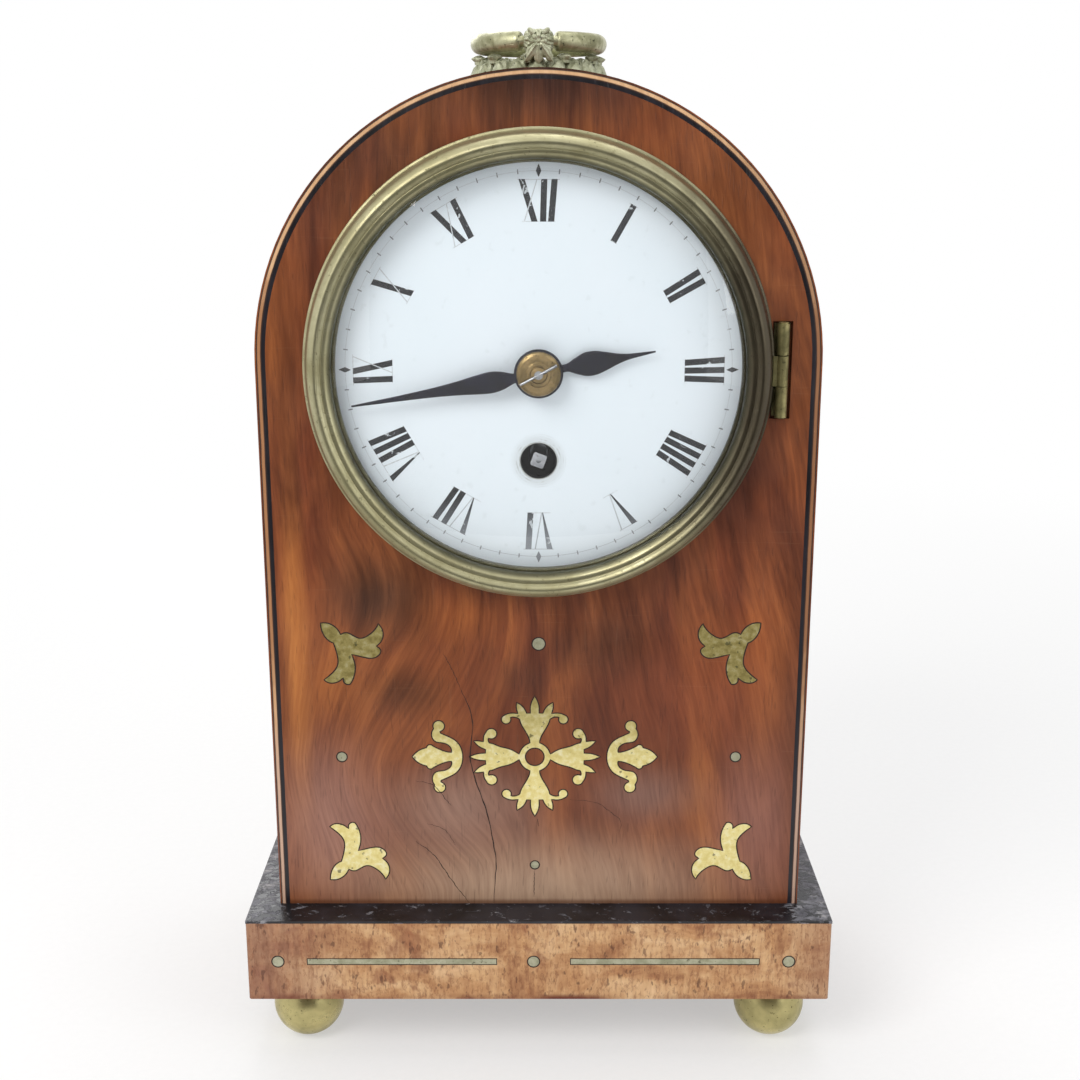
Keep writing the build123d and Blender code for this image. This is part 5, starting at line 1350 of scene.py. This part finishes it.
@dataclass
class DialFace(Assembly):
    """The fired figures and the minute ring, laid on the dial's dome."""

    body: str = "case"
    rise: float = 6.0
    dial_setback: float = 3.0
    lift: float = 0.03
    figure_inner: float = 52.1
    figure_outer: float = 66.5
    stroke: float = 2.15
    pitch: float = 3.6
    hairline: float = 0.22
    minute_inner: float = 68.5
    minute_outer: float = 70.1
    minute_width: float = 0.42
    circle_width: float = 0.14
    faint_width: float = 0.4
    serif: float = 0.4
    letters: tuple[str, ...] = ("XII", "I", "II", "III", "IIII", "V", "VI", "VII", "VIII", "IX", "X", "XI")
    centre_z: float = field(init=False, default=0.0)
    dome: Dome = field(init=False, default=Dome(0.0, 1.0, 1.0))

    def build(self) -> None:
        """Find the dome from the frame, then lay the strokes."""
        low, high = box_mm("dial")
        front = box_mm("front_board")[0][1]
        self.centre_z = middle_mm("dial")[2]
        self.dome = Dome(front + self.dial_setback, self.rise, (high[0] - low[0]) / 2)
        thick, thin = [], []
        for hour, letters in enumerate(self.letters):
            strong, faint = self.figure(letters, math.radians(30.0 * hour))
            thick += strong
            thin += faint
        for name, shell, finish in (
            ("hour_figures", joined(thick), Finishes.INK),
            ("faded_figure_strokes", joined(thin), Finishes.FADED_INK),
            ("minute_marks", joined(self.minute_marks()), Finishes.GREY_INK),
            ("minute_circle", self.minute_ring(), Finishes.FADED_INK),
            ("quarter_marks", joined(self.quarter_marks()), Finishes.INK),
        ):
            self.add(name, shell, finish, "blued_steel")

    def stroke_shell(self, corners: Sequence[tuple[float, float]], angle: float) -> Shell:
        """A four-cornered stroke on the dome.

        The stroke's points are blended between its four corners, turned about the dial's centre by the
        angle, and set just in front of the dome at their radius.

        Args:
            corners: The corners as (across, radius): outer left, outer right, inner right, inner left.
            angle: The clockwise angle from twelve, in radians.

        Returns:
            The stroke as a thin sheet.
        """
        u = np.linspace(0, 1, 3)[None, :, None]
        v = np.linspace(0, 1, 10)[:, None, None]
        a, b, c, d = (np.array(corner, float) for corner in corners)
        flat = (1 - v) * ((1 - u) * a + u * b) + v * ((1 - u) * d + u * c)
        across, up = flat[..., 0], flat[..., 1]
        x = across * math.cos(angle) + up * math.sin(angle)
        z = -across * math.sin(angle) + up * math.cos(angle)
        y = self.dome.depth(np.hypot(x, z)) - self.lift
        return grid_shell(np.stack([x, y, z + self.centre_z], axis=-1)).facing((0, -1, 0))

    def figure(self, letters: str, angle: float) -> tuple[list[Shell], list[Shell]]:
        """A Roman figure with its feet towards the dial's centre.

        Args:
            letters: The figure's letters.
            angle: The clockwise angle from twelve, in radians.

        Returns:
            The strong strokes and the faded ones.
        """
        widths = {"I": self.pitch, "V": 2.1 * self.pitch, "X": 2.1 * self.pitch}
        across = -sum(widths[letter] for letter in letters) / 2
        top, foot, half = self.figure_outer, self.figure_inner, self.stroke / 2
        narrow, serif, stroke, thin = foot / top, self.serif, self.stroke, self.faint_width
        strong, faint = [], []
        for letter in letters:
            left, right = across, across + widths[letter]
            middle = (left + right) / 2
            if letter == "I":
                strong.append(((middle - half, top), (middle + half, top),
                               (middle * narrow + half, foot), (middle * narrow - half, foot)))
            elif letter == "V":
                tip = middle * narrow
                strong.append(((left + serif, top), (left + serif + stroke, top),
                               (tip + 0.15, foot), (tip - 0.15, foot)))
                faint.append(((right - 0.5 - thin, top), (right - 0.5, top),
                              (tip + 0.1 + thin, foot), (tip + 0.1, foot)))
            else:
                strong.append(((left + serif, top), (left + serif + stroke, top),
                               ((right - 0.6) * narrow, foot), ((right - 0.6) * narrow - stroke, foot)))
                faint.append(((right - 0.5 - thin, top), (right - 0.5, top),
                              (left * narrow + 0.6 + thin, foot), (left * narrow + 0.6, foot)))
            across = right
        for radius, share in ((top, 1.0), (foot + self.hairline, narrow)):
            reach, inner = across * share, radius - self.hairline
            faint.append(((-reach, radius), (reach, radius), (reach, inner), (-reach, inner)))
        return ([self.stroke_shell(corners, angle) for corners in strong],
                [self.stroke_shell(corners, angle) for corners in faint])

    def minute_marks(self) -> list[Shell]:
        """A short radial mark for each minute but the quarters."""
        half, outer, inner = self.minute_width / 2, self.minute_outer, self.minute_inner
        mark = ((-half, outer), (half, outer), (half, inner), (-half, inner))
        return [self.stroke_shell(mark, math.radians(6.0 * minute)) for minute in range(60) if minute % 15]

    def quarter_marks(self) -> list[Shell]:
        """A small lozenge at each quarter, as two strokes that meet at its widest."""
        middle, tip, wide = (self.minute_inner + self.minute_outer) / 2, 0.08, 0.95
        top, foot = middle + 2.3, middle - 2.0
        halves = (((-tip, top), (tip, top), (wide, middle), (-wide, middle)),
                  ((-wide, middle), (wide, middle), (tip, foot), (-tip, foot)))
        turns = [math.radians(90.0 * quarter) for quarter in range(4)]
        return [self.stroke_shell(half, turn) for turn in turns for half in halves]

    def minute_ring(self) -> Shell:
        """The fine circle that the minute marks stand on."""
        angle = np.linspace(0, 2 * np.pi, 361)
        radius, half = (self.minute_inner + self.minute_outer) / 2, self.circle_width / 2
        rings = np.array([radius - half, radius + half])[:, None]
        x, z = rings * np.sin(angle), rings * np.cos(angle)
        y = self.dome.depth(np.hypot(x, z)) - self.lift / 2
        return grid_shell(np.stack([x, y, z + self.centre_z], axis=-1)).facing((0, -1, 0))


@dataclass
class Hand(Assembly):
    """A forged hand that follows the dial's curve, on its round collet."""

    body: str = "hour_train"
    node: str = "hour_hand"
    angle: float = 80.0
    collet_radius: float = 7.6
    bore: float = 3.3
    thickness: float = 0.6
    dial: Dome = Dome(0.0, 6.0, 76.2)
    outline: tuple[tuple[float, float], ...] = ()

    def build(self) -> None:
        """Loft the blade and turn the collet."""
        centre_z = middle_mm("dial")[2]
        edge, r = self.thickness / 2, self.collet_radius
        middle = box_mm(self.node)[0][1] + edge
        front, back, bevel = middle - edge, middle + edge, edge * 0.6
        ring = np.array([(self.bore, back), (self.bore, front), (r - 0.5, front), (r - 0.1, middle - bevel),
                         (r, middle), (r - 0.1, middle + bevel), (r - 0.5, back)])
        shell = joined([self.blade(middle, centre_z), turned(ring, (0, 0, centre_z), "y", 96)])
        self.add(f"{self.node}_blade", shell, Finishes.BLUED_STEEL, "blued_steel", [self.node], crease=50.0)

    def blade(self, middle: float, centre_z: float) -> Shell:
        """The blade as a loft: at each length an ellipse, as wide as the outline and thinned to its edges.

        Args:
            middle: The Y of the blade's middle at the dial's centre.
            centre_z: The Z of the dial's centre.

        Returns:
            The blade, closed at the collet; its fine tip ends in a ring of points.
        """
        outline = smooth_profile(self.outline, 10)
        along, half = outline[:, 0], np.maximum(outline[:, 1], 0.02)
        turn = round_angles(24)
        across = half[:, None] * np.cos(turn)
        lift = self.thickness / 2 * np.sign(np.sin(turn)) * np.abs(np.sin(turn)) ** 0.6
        drop = self.dial.depth(along) - self.dial.depth(np.zeros(1))
        y = middle + drop[:, None] + lift[None, :] * np.minimum(1.0, half[:, None] / 0.8)
        angle = math.radians(self.angle)
        x = across * math.cos(angle) + along[:, None] * math.sin(angle)
        z = -across * math.sin(angle) + along[:, None] * math.cos(angle)
        points = start_drawn_in(np.stack([x, y, z + centre_z], axis=-1))
        return grid_shell(points, wrap_columns=True).outward()


@dataclass
class MinuteCollet(Assembly):
    """The taper pin across the minute hand's collet, and the end of the arbor that it holds."""

    body: str = "centre_train"
    angle: float = 28.0
    length: float = 14.6
    radius: float = 0.5
    end_radius: float = 1.7

    def build(self) -> None:
        """Lay the pin across the collet's face and turn the arbor's domed end."""
        centre_z = middle_mm("hand_boss")[2]
        front = box_mm("hand_boss")[0][1] + self.radius + 0.05
        turn = math.radians(self.angle)
        reach = np.linspace(-self.length / 2, self.length / 2, 12)
        path = spread(reach * math.cos(turn), front, centre_z + reach * math.sin(turn))
        pin = tube(path, self.radius * np.linspace(0.8, 1.0, 12), 20)
        r, back = self.end_radius, front + 1.2
        dome = smooth_profile([(r, back), (r, front - 0.1), (r * 0.7, front - 0.35), (0.0, front - 0.45)], 8)
        end = turned(np.vstack([[(0.0, back)], dome]), (0.0, 0.0, centre_z), "y", 48, closed=False)
        self.add("taper_pin", joined([pin, end]), Finishes.STEEL, "steel")


@dataclass
class CarryingHandle(Assembly):
    """The ring handle, the clasp that it turns in and the leafy plate below them."""

    body: str = "case"
    ring_radius: float = 22.2
    tube_radius: float = 3.6
    plate_radius: float = 27.0
    clasp_half: float = 5.8
    buds: int = 10
    bud_turn: float = math.radians(-100.4)
    bud_radius: float = 22.6
    crown_radius: float = 20.5
    crown_drop: float = 2.5
    collar_radius: float = 4.65
    case_radius: float = 101.6
    ring_z: float = field(init=False, default=0.0)
    ring_y: float = field(init=False, default=0.0)
    spring_z: float = field(init=False, default=0.0)

    def build(self) -> None:
        """Place the three parts from the frame's boxes."""
        self.ring_z = middle_mm("ring_handle")[2]
        self.ring_y = box_mm("ring_handle")[1][1] - self.ring_radius - self.tube_radius
        self.spring_z = box_mm("front_board")[1][2] - self.case_radius
        for name, shells, node in (("leaf_plate", [self.plate()] + self.bud_shells(), "handle_plate"),
                                   ("leaf_clasp", self.clasp(), "handle_clasp")):
            self.add(name, joined(shells), Finishes.FOLIAGE_BRASS, "brass", [node], crease=60.0)
        CarryingRing(ring_radius=self.ring_radius, tube_radius=self.tube_radius,
                     clasp_half=self.clasp_half).build()

    def arch_z(self, x: Array) -> Array:
        """The height of the case's top at a distance from its middle."""
        return self.spring_z + np.sqrt(self.case_radius**2 - x**2)

    def plate(self) -> Shell:
        """The plate as a mound over the arch, in polar coordinates.

        The crown is level, and falls to the arch between the crown's radius and the rim. The rim is scalloped
        by leaves, twice as many as the buds. A furrow lies between two leaves, a rib runs along each, and small
        curls cross it.

        Returns:
            The closed plate.
        """
        t = np.linspace(0, 1, 90)[:, None]
        angle = round_angles(600)[None, :]
        leaf = np.abs(np.sin((angle - self.bud_turn) * self.buds))
        rim = self.plate_radius * (0.87 + 0.13 * leaf**0.6)
        radius = rim * t**0.6
        share = np.clip((rim - radius) / (rim - self.crown_radius), 0, 1)
        fall = np.sin(share * np.pi / 2) ** 0.8
        outside = np.clip((radius - self.crown_radius * 0.7) / 5.0, 0, 1)
        furrow = 1.5 * np.exp(-((leaf / 0.3) ** 2)) * outside * np.clip(share * 4, 0, 1)
        rib = 0.45 * np.exp(-(((1 - leaf) / 0.06) ** 2)) * outside
        curls = 0.4 * np.sin(radius * 2.4 + 5.0 * leaf) * outside * np.clip(share * 3, 0, 1)
        x = radius * np.cos(angle)
        y = self.ring_y + radius * np.sin(angle)
        arch = self.arch_z(x)
        crown = self.ring_z - self.tube_radius - self.crown_drop - arch
        worn = 0.15 * ripple(radius, angle * 9, 0.3)
        height = np.maximum(0.5 + (crown - 0.5) * fall - furrow + rib + curls + worn, 0.35)
        top = np.stack([x, y, arch + np.minimum(height, crown + 0.7)], axis=-1)
        inward = np.linspace(len(t) - 1, 0, 9).astype(int)
        bottom = spread(x, y, arch + 0.02)[inward]
        return grid_shell(np.concatenate([top, bottom]), wrap_columns=True).outward()

    def bud_shells(self) -> list[Shell]:
        """A squat three-lobed bud for each pair of leaves, on the crown just under the ring.

        The bud's radius swells from a narrow neck and closes over at its top; three lobes and fine ribs
        ripple it.
        """
        buds = []
        v, turn = np.linspace(0, 1, 30)[:, None], round_angles(36)[None, :]
        top = self.ring_z - self.tube_radius - 0.35
        base = self.ring_z - self.tube_radius - self.crown_drop - 1.4
        swell = 1.75 + 0.75 * np.sin(np.pi * np.clip((v - 0.3) / 0.7, 0, 1))
        swell = swell * np.sqrt(np.clip((1 - v) / 0.3, 0, 1))
        for index in range(self.buds):
            angle = self.bud_turn + 2 * math.pi * index / self.buds
            x0, y0 = self.bud_radius * math.cos(angle), self.ring_y + self.bud_radius * math.sin(angle)
            lobes = 0.2 * np.cos(3 * (turn - angle)) * np.clip((v - 0.3) / 0.3, 0, 1)
            radius = swell * (1 + lobes + 0.04 * np.cos(12 * turn))
            points = spread(x0 + radius * np.cos(turn), y0 + radius * np.sin(turn), base + (top - base) * v)
            buds.append(grid_shell(start_drawn_in(points), wrap_columns=True).outward())
        return buds

    def clasp(self) -> list[Shell]:
        """The clasp: a ruffled collar round the ring's pivot, a rosette in front and leaves below it."""
        y0 = self.ring_y - self.ring_radius
        u, turn = np.linspace(-1, 1, 90)[:, None], round_angles(160)[None, :]
        waist = np.clip(1 - np.abs(u) ** 5, 0, 1) ** 0.5
        ruffles = 0.42 * np.sin(8 * turn + 4 * u) * np.cos(2.5 * np.pi * u) + 0.2 * np.sin(17 * turn - 9 * u)
        radius = waist * (self.collar_radius - 0.65 + ruffles)
        points = spread(self.clasp_half * u, y0 + radius * np.cos(turn), self.ring_z + radius * np.sin(turn))
        collar = grid_shell(points, wrap_columns=True).outward()
        front = y0 - self.collar_radius
        return [collar, self.rosette(front + 0.7), *self.leaves(front + 0.4), *self.side_leaves(y0)]

    def rosette(self, y: float) -> Shell:
        """A round of eight petals about a small boss: the radius swells and falls with the angle."""
        v, turn = np.linspace(0, 1, 40)[:, None], round_angles(128)[None, :]
        petal = np.abs(np.cos(4 * turn)) ** 0.6
        rim = 3.1 * (0.72 + 0.28 * petal)
        radius = rim * v
        boss = 0.75 * np.exp(-((v / 0.24) ** 2))
        bulge = boss + 0.55 * np.sin(np.pi * np.clip((v - 0.25) / 0.75, 0, 1)) * (0.4 + 0.6 * petal)
        x, z = radius * np.cos(turn), self.ring_z - 0.2 + radius * np.sin(turn)
        sides = [spread(x, y - 0.25 - bulge, z), spread(x, y + 0.6, z)[::-1]]
        return grid_shell(np.concatenate(sides), wrap_columns=True).outward()

    def leaves(self, y: float) -> list[Shell]:
        """Three leaves that hang from the rosette to the plate: one straight down and one to each side.

        Each leaf's half width narrows to its tip, with a rib down its middle; its centre line leaves the
        rosette at the leaf's own angle. A leaf is closed where it leaves the rosette.
        """
        v = np.linspace(0, 1, 36)[:, None]
        u = np.linspace(-1, 1, 21)[None, :]
        shells = []
        for lean, reach, width in ((0.0, 6.4, 2.3), (-0.62, 7.4, 2.0), (0.62, 7.4, 2.0)):
            half = width * np.sin(np.pi * (0.16 + 0.84 * v)) ** 0.7 * (0.9 + 0.1 * np.cos(16 * v))
            along, across = 1.6 + reach * v, half * u
            x = along * math.sin(lean) + across * math.cos(lean)
            z = self.ring_z - along * math.cos(lean) + across * math.sin(lean)
            rib = 0.45 * np.exp(-((u / 0.22) ** 2)) + 0.12 * np.cos(3 * np.pi * u)
            front = np.stack([x, y - 0.5 * (1 - u**2) - rib * (1 - v) + 1.1 * v**2, z], axis=-1)
            loop = np.concatenate([front, (front + np.array([0.0, 1.5, 0.0]))[:, ::-1]], axis=1)
            shells.append(grid_shell(start_drawn_in(loop), wrap_columns=True).outward())
        return shells

    def side_leaves(self, y: float) -> list[Shell]:
        """Two curled leaf tips that rise beside the rosette, each a short tapering tube."""
        leaves = []
        for side in (-1.0, 1.0):
            t = np.linspace(0, 1, 24)
            bend = np.pi * (0.1 + 1.15 * t)
            x = side * (1.0 + 2.6 * t + 1.3 * np.sin(bend))
            z = self.ring_z + 2.0 + 1.9 * np.sin(bend * 0.8)
            path = np.stack([x, y - 3.4 + 1.2 * t, z], axis=-1)
            leaves.append(tube(path, 0.95 * (1 - 0.45 * t), 14))
        return leaves


@dataclass
class CarryingRing(Assembly):
    """The ring alone, which lifts on its pivot."""

    body: str = "handle"
    ring_radius: float = 22.2
    tube_radius: float = 3.6
    clasp_half: float = 5.8
    gap: float = 0.45
    pivot_radius: float = 1.95
    wear: float = 0.012

    def build(self) -> None:
        """Sweep the tube round from one side of the clasp to the other, and add the pivot between its ends."""
        centre_y = box_mm("ring_handle")[1][1] - self.ring_radius - self.tube_radius
        centre_z = middle_mm("ring_handle")[2]
        half = math.asin((self.clasp_half + self.gap) / self.ring_radius)
        angle = np.linspace(-math.pi / 2 + half, 1.5 * math.pi - half, 260)
        share = np.linspace(0, 1, 260)
        ends = np.minimum(1.0, np.minimum(share, 1 - share) * 120)
        worn = 1 - self.wear * (1 + ripple(angle * 3, angle, 1.0)) / 2
        radii = self.tube_radius * (0.82 + 0.18 * np.sqrt(ends)) * worn
        path = spread(self.ring_radius * np.cos(angle), centre_y + self.ring_radius * np.sin(angle), centre_z)
        ring = tube(path, np.minimum(radii, self.tube_radius), 56)
        reach, pivot_y = self.clasp_half + self.gap + 1.2, centre_y - self.ring_radius
        pivot_path = np.linspace((-reach, pivot_y, centre_z), (reach, pivot_y, centre_z), 8)
        pivot = tube(pivot_path, np.full(8, self.pivot_radius), 32)
        self.add("carrying_ring", joined([ring, pivot]), Finishes.BRASS, "brass", ["ring_handle"], crease=50.0)


@dataclass
class FrontDetail(Assembly):
    """What age has left on the front: the dark line round the inlay and the cracks."""

    body: str = "case"
    lift: float = 0.03
    rim: float = 0.42
    overlap: float = 0.06
    facing_share: float = 0.98

    def build(self) -> None:
        """Draw the rims from the inlay's own outlines, and the cracks along their routes."""
        shells = [self.outline_rim(node) for node in ("centre_inlay", "corner_inlays", "brass_roundels")]
        self.add("inlay_grime", joined(shells), Finishes.GRIME, "ebony")
        self.add("age_cracks", joined(self.cracks()), Finishes.GRIME, "ebony")

    def outline_rim(self, node: str) -> Shell:
        """A thin band just outside each edge of the node's front faces.

        A front face's edge that belongs to no second front face is on the outline. The band's outer edge lies
        a rim's width along the outward direction, averaged at each point.

        Args:
            node: The CAD node.

        Returns:
            The bands of all the node's outlines.
        """
        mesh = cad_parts[node].data
        points = np.empty(len(mesh.vertices) * 3)
        mesh.vertices.foreach_get("co", points)
        points = points.reshape(-1, 3) / MM
        corners = np.empty(len(mesh.loops), np.int64)
        mesh.loops.foreach_get("vertex_index", corners)
        keys = np.round(points * 1e3).astype(np.int64)
        _, first, which = np.unique(keys, axis=0, return_index=True, return_inverse=True)
        points = points[first]
        triangles = which.reshape(-1)[corners].reshape(-1, 3)
        a, b, c = (points[triangles[:, k]] for k in range(3))
        normal = np.cross(b - a, c - a)
        size = np.linalg.norm(normal, axis=1)
        front = triangles[(size > TINY) & (normal[:, 1] < -self.facing_share * size)]
        edges = np.concatenate([front[:, [0, 1]], front[:, [1, 2]], front[:, [2, 0]]])
        ordered = np.sort(edges, axis=1)
        _, where, uses = np.unique(ordered, axis=0, return_index=True, return_counts=True)
        start, end = edges[where[uses == 1]].T
        along = points[end] - points[start]
        length = np.linalg.norm(along, axis=1, keepdims=True)
        out = np.stack([along[:, 2], 0 * along[:, 1], -along[:, 0]], axis=1) / np.maximum(length, TINY)
        total = np.zeros_like(points)
        np.add.at(total, start, -out)
        np.add.at(total, end, -out)
        total /= np.maximum(np.linalg.norm(total, axis=1, keepdims=True), TINY)
        wide, near = points + total * self.rim, points - total * self.overlap
        lifted = np.array([0.0, self.lift, 0.0])
        band = np.stack([near[start], near[end], wide[end], wide[start]], axis=1) - lifted
        shell = Shell(band.reshape(-1, 3), np.arange(4 * len(start)).reshape(-1, 4))
        a, b, c, d = shell.corners()
        turn = np.cross(c - a, d - b)[:, 1] > 0
        shell.quads[turn] = shell.quads[turn][:, ::-1]
        return shell

    def cracks(self) -> list[Shell]:
        """The cracks as thin ribbons, widest in their middle, along routes of (x, height above the foot)."""
        low, _ = box_mm("front_board")
        routes = (
            (((-29.4, 89.2), (-27.2, 84.1), (-25.1, 75.0), (-26.3, 62.2), (-24.9, 54.8), (-22.5, 46.5),
              (-19.5, 37.1), (-17.9, 26.7), (-16.6, 19.1), (-17.1, 10.5), (-17.6, 0.3)), 0.42),
            (((-36.0, 104.0), (-32.5, 97.0), (-29.4, 89.2)), 0.2),
            (((-47.3, 52.1), (-40.5, 50.2), (-35.4, 43.7), (-33.7, 41.8)), 0.22),
            (((-47.8, 26.7), (-41.0, 21.0), (-36.7, 14.3), (-32.5, 7.6), (-27.3, 0.3)), 0.3),
            (((-43.4, 34.3), (-36.5, 31.5), (-32.2, 24.8)), 0.18),
            (((-1.7, 14.3), (-1.9, 2.8)), 0.26),
            (((-0.5, 36.2), (-0.1, 33.0)), 0.22),
            (((11.8, 44.4), (22.0, 43.0), (27.2, 39.5), (31.7, 35.3), (31.5, 30.7)), 0.18),
        )
        ribbons = []
        for route, width in routes:
            line = smooth_profile(route, 14)
            ahead = np.gradient(line, axis=0)
            ahead /= np.linalg.norm(ahead, axis=1, keepdims=True)
            side = np.stack([-ahead[:, 1], ahead[:, 0]], axis=1)
            t = np.linspace(0, 1, len(line))
            swell = 0.25 + 0.75 * np.sin(np.pi * t) ** 0.5
            half = width / 2 * swell * (1 + 0.35 * ripple(t * 40, t * 9, 0.5))
            wander = 0.16 * ripple(t * 30, t * 11, 1.7)[:, None] * side
            flat = np.stack([line + wander + way * side * half[:, None] for way in (-1, 1)], axis=1)
            points = spread(flat[..., 0], low[1] - self.lift, flat[..., 1] + low[2])
            ribbons.append(grid_shell(points).facing((0, -1, 0)))
        return ribbons


@dataclass
class BackDoor(Assembly):
    """The turned knob of the back door."""

    body: str = "back_door"

    def build(self) -> None:
        """Turn the knob about its own axis."""
        low, high = box_mm("back_door_knob")
        face = box_mm("back_door_frame")[1][1]
        centre = ((low[0] + high[0]) / 2, face, (low[2] + high[2]) / 2)
        reach = high[1] - face
        r = (high[0] - low[0]) / 2
        side = smooth_profile([
            (3.8, 0.0), (3.9, 0.5), (3.4, 1.0), (2.6, 1.6), (2.5, 2.8), (r * 0.72, 3.9), (r * 0.97, 5.2),
            (r, 6.2), (r * 0.9, 7.6), (r * 0.6, reach - 0.35), (r * 0.25, reach - 0.06), (0.0, reach),
        ], 6)
        knob = turned(np.vstack([[(0.0, 0.0)], side]), centre, "y", 72, closed=False)
        self.add("turned_knob", knob, Finishes.FOOT_BRASS, "brass", ["back_door_knob"])


@dataclass
class Studio:
    """The floor, the lamps and the camera of the photograph."""

    camera_place: tuple[float, float, float] = (0.5, -600.0, 351.5)
    camera_pitch: float = 14.82
    lens: float = 50.5
    floor_half: float = 2.6
    world_strength: float = 0.45
    sensor: float = 36.0
    aim_height: float = 0.2

    def build(self) -> None:
        """Set the view, the world, the lamps, the floor and the card."""
        scene = bpy.context.scene
        scene.view_settings.view_transform = "Standard"
        self.camera(scene)
        self.world(scene)
        self.floor()
        self.card()
        self.lamp("key", (-0.75, -0.95, 1.15), 0.75, 11.4, (1.0, 0.99, 0.97))
        self.lamp("fill", (1.05, -0.85, 0.75), 0.9, 4.3, (0.97, 0.98, 1.0))
        self.lamp("top", (0.1, 0.25, 1.45), 0.9, 5.8, (1.0, 1.0, 1.0))
        self.lamp("back", (-0.4, 1.3, 0.9), 0.9, 6.0, (1.0, 1.0, 1.0))

    def camera(self, scene: bpy.types.Scene) -> None:
        """The camera at the photograph's place, tilted down."""
        data = bpy.data.cameras.new("camera")
        data.lens = self.lens
        data.sensor_width = self.sensor
        camera = bpy.data.objects.new("camera", data)
        camera.location = [value * MM for value in self.camera_place]
        camera.rotation_euler = (math.radians(90.0 - self.camera_pitch), 0.0, 0.0)
        scene.collection.objects.link(camera)
        scene.camera = camera

    def world(self, scene: bpy.types.Scene) -> None:
        """A world that lights softly and shows white where the background is seen."""
        world = bpy.data.worlds.new("studio")
        world.use_nodes = True
        world.node_tree.nodes.clear()
        graph = Graph(world.node_tree)
        shown = {"Value": graph.background_rays(), "To Min": self.world_strength, "To Max": 1.0}
        strength = graph.add("ShaderNodeMapRange", shown).outputs[0]
        background = graph.add("ShaderNodeBackground", {"Color": WHITE, "Strength": strength})
        graph.add("ShaderNodeOutputWorld", {"Surface": background.outputs[0]})
        scene.world = world

    def floor(self) -> None:
        """A wide flat floor."""
        r = self.floor_half / MM
        points = np.array([[(-r, -r, 0.0), (r, -r, 0.0)], [(-r, r, 0.0), (r, r, 0.0)]])
        thing = mesh_object("floor", grid_shell(points).facing((0, 0, 1)))
        thing.data.materials.append(PaleFloor().material())

    def card(self) -> None:
        """A dark card before the clock that glass and metal reflect, and which the camera never sees."""
        half, near, far, low, high = 900.0, -330.0, -1500.0, 3.0, 1100.0
        points = np.array([[(x, near, low), (x, far, low), (x, far, high)] for x in (-half, half)])
        thing = mesh_object("dark_card", grid_shell(points))
        thing.data.materials.append(DarkCard().material())
        thing.visible_camera = False
        thing.visible_diffuse = False
        thing.visible_shadow = False
        thing.visible_transmission = False

    def lamp(self, name: str, place: Sequence[float], size: float, power: float,
             colour: Sequence[float]) -> None:
        """A square soft lamp aimed at the clock's middle.

        Args:
            name: The lamp's name.
            place: Where it stands, in metres.
            size: Its side in metres.
            power: Its power in watts.
            colour: Its colour.
        """
        data = bpy.data.lights.new(name, "AREA")
        data.shape = "SQUARE"
        data.size = size
        data.energy = power
        data.color = colour
        lamp = bpy.data.objects.new(name, data)
        aim = np.array((0.0, 0.0, self.aim_height)) - np.array(place)
        flat = math.hypot(aim[0], aim[1])
        lamp.rotation_euler = (math.atan2(flat, -aim[2]), 0.0, math.atan2(-aim[0], aim[1]))
        lamp.location = place
        bpy.context.scene.collection.objects.link(lamp)


def main() -> None:
    """Build each assembly in order."""
    logging.basicConfig(level=logging.INFO, format="%(name)s %(message)s")
    Studio().build()
    dress_frame()
    hour = Hand(body="hour_train", node="hour_hand", angle=80.0, collet_radius=7.6, bore=3.3, outline=(
        (5.0, 2.2), (8.0, 1.5), (10.5, 1.5), (13.5, 2.9), (17.0, 4.2), (20.5, 4.2), (24.0, 3.3), (28.0, 2.0),
        (32.0, 1.1), (37.0, 0.65), (42.0, 0.3)))
    minute = Hand(body="centre_train", node="minute_hand", angle=259.5, collet_radius=8.7, bore=2.4, outline=(
        (6.0, 1.8), (9.0, 1.8), (13.0, 3.2), (17.0, 3.8), (22.0, 3.4), (29.0, 2.5), (38.0, 1.7), (50.0, 1.05),
        (60.0, 0.65), (68.0, 0.3)))
    for assembly in (Feet(), FrontDetail(), Bezel(), DialFace(), hour, minute, MinuteCollet(), CarryingHandle(),
                     BackDoor()):
        assembly.build()
        log.info("finished %s", type(assembly).__name__)


if __name__ == "__main__":
    main()
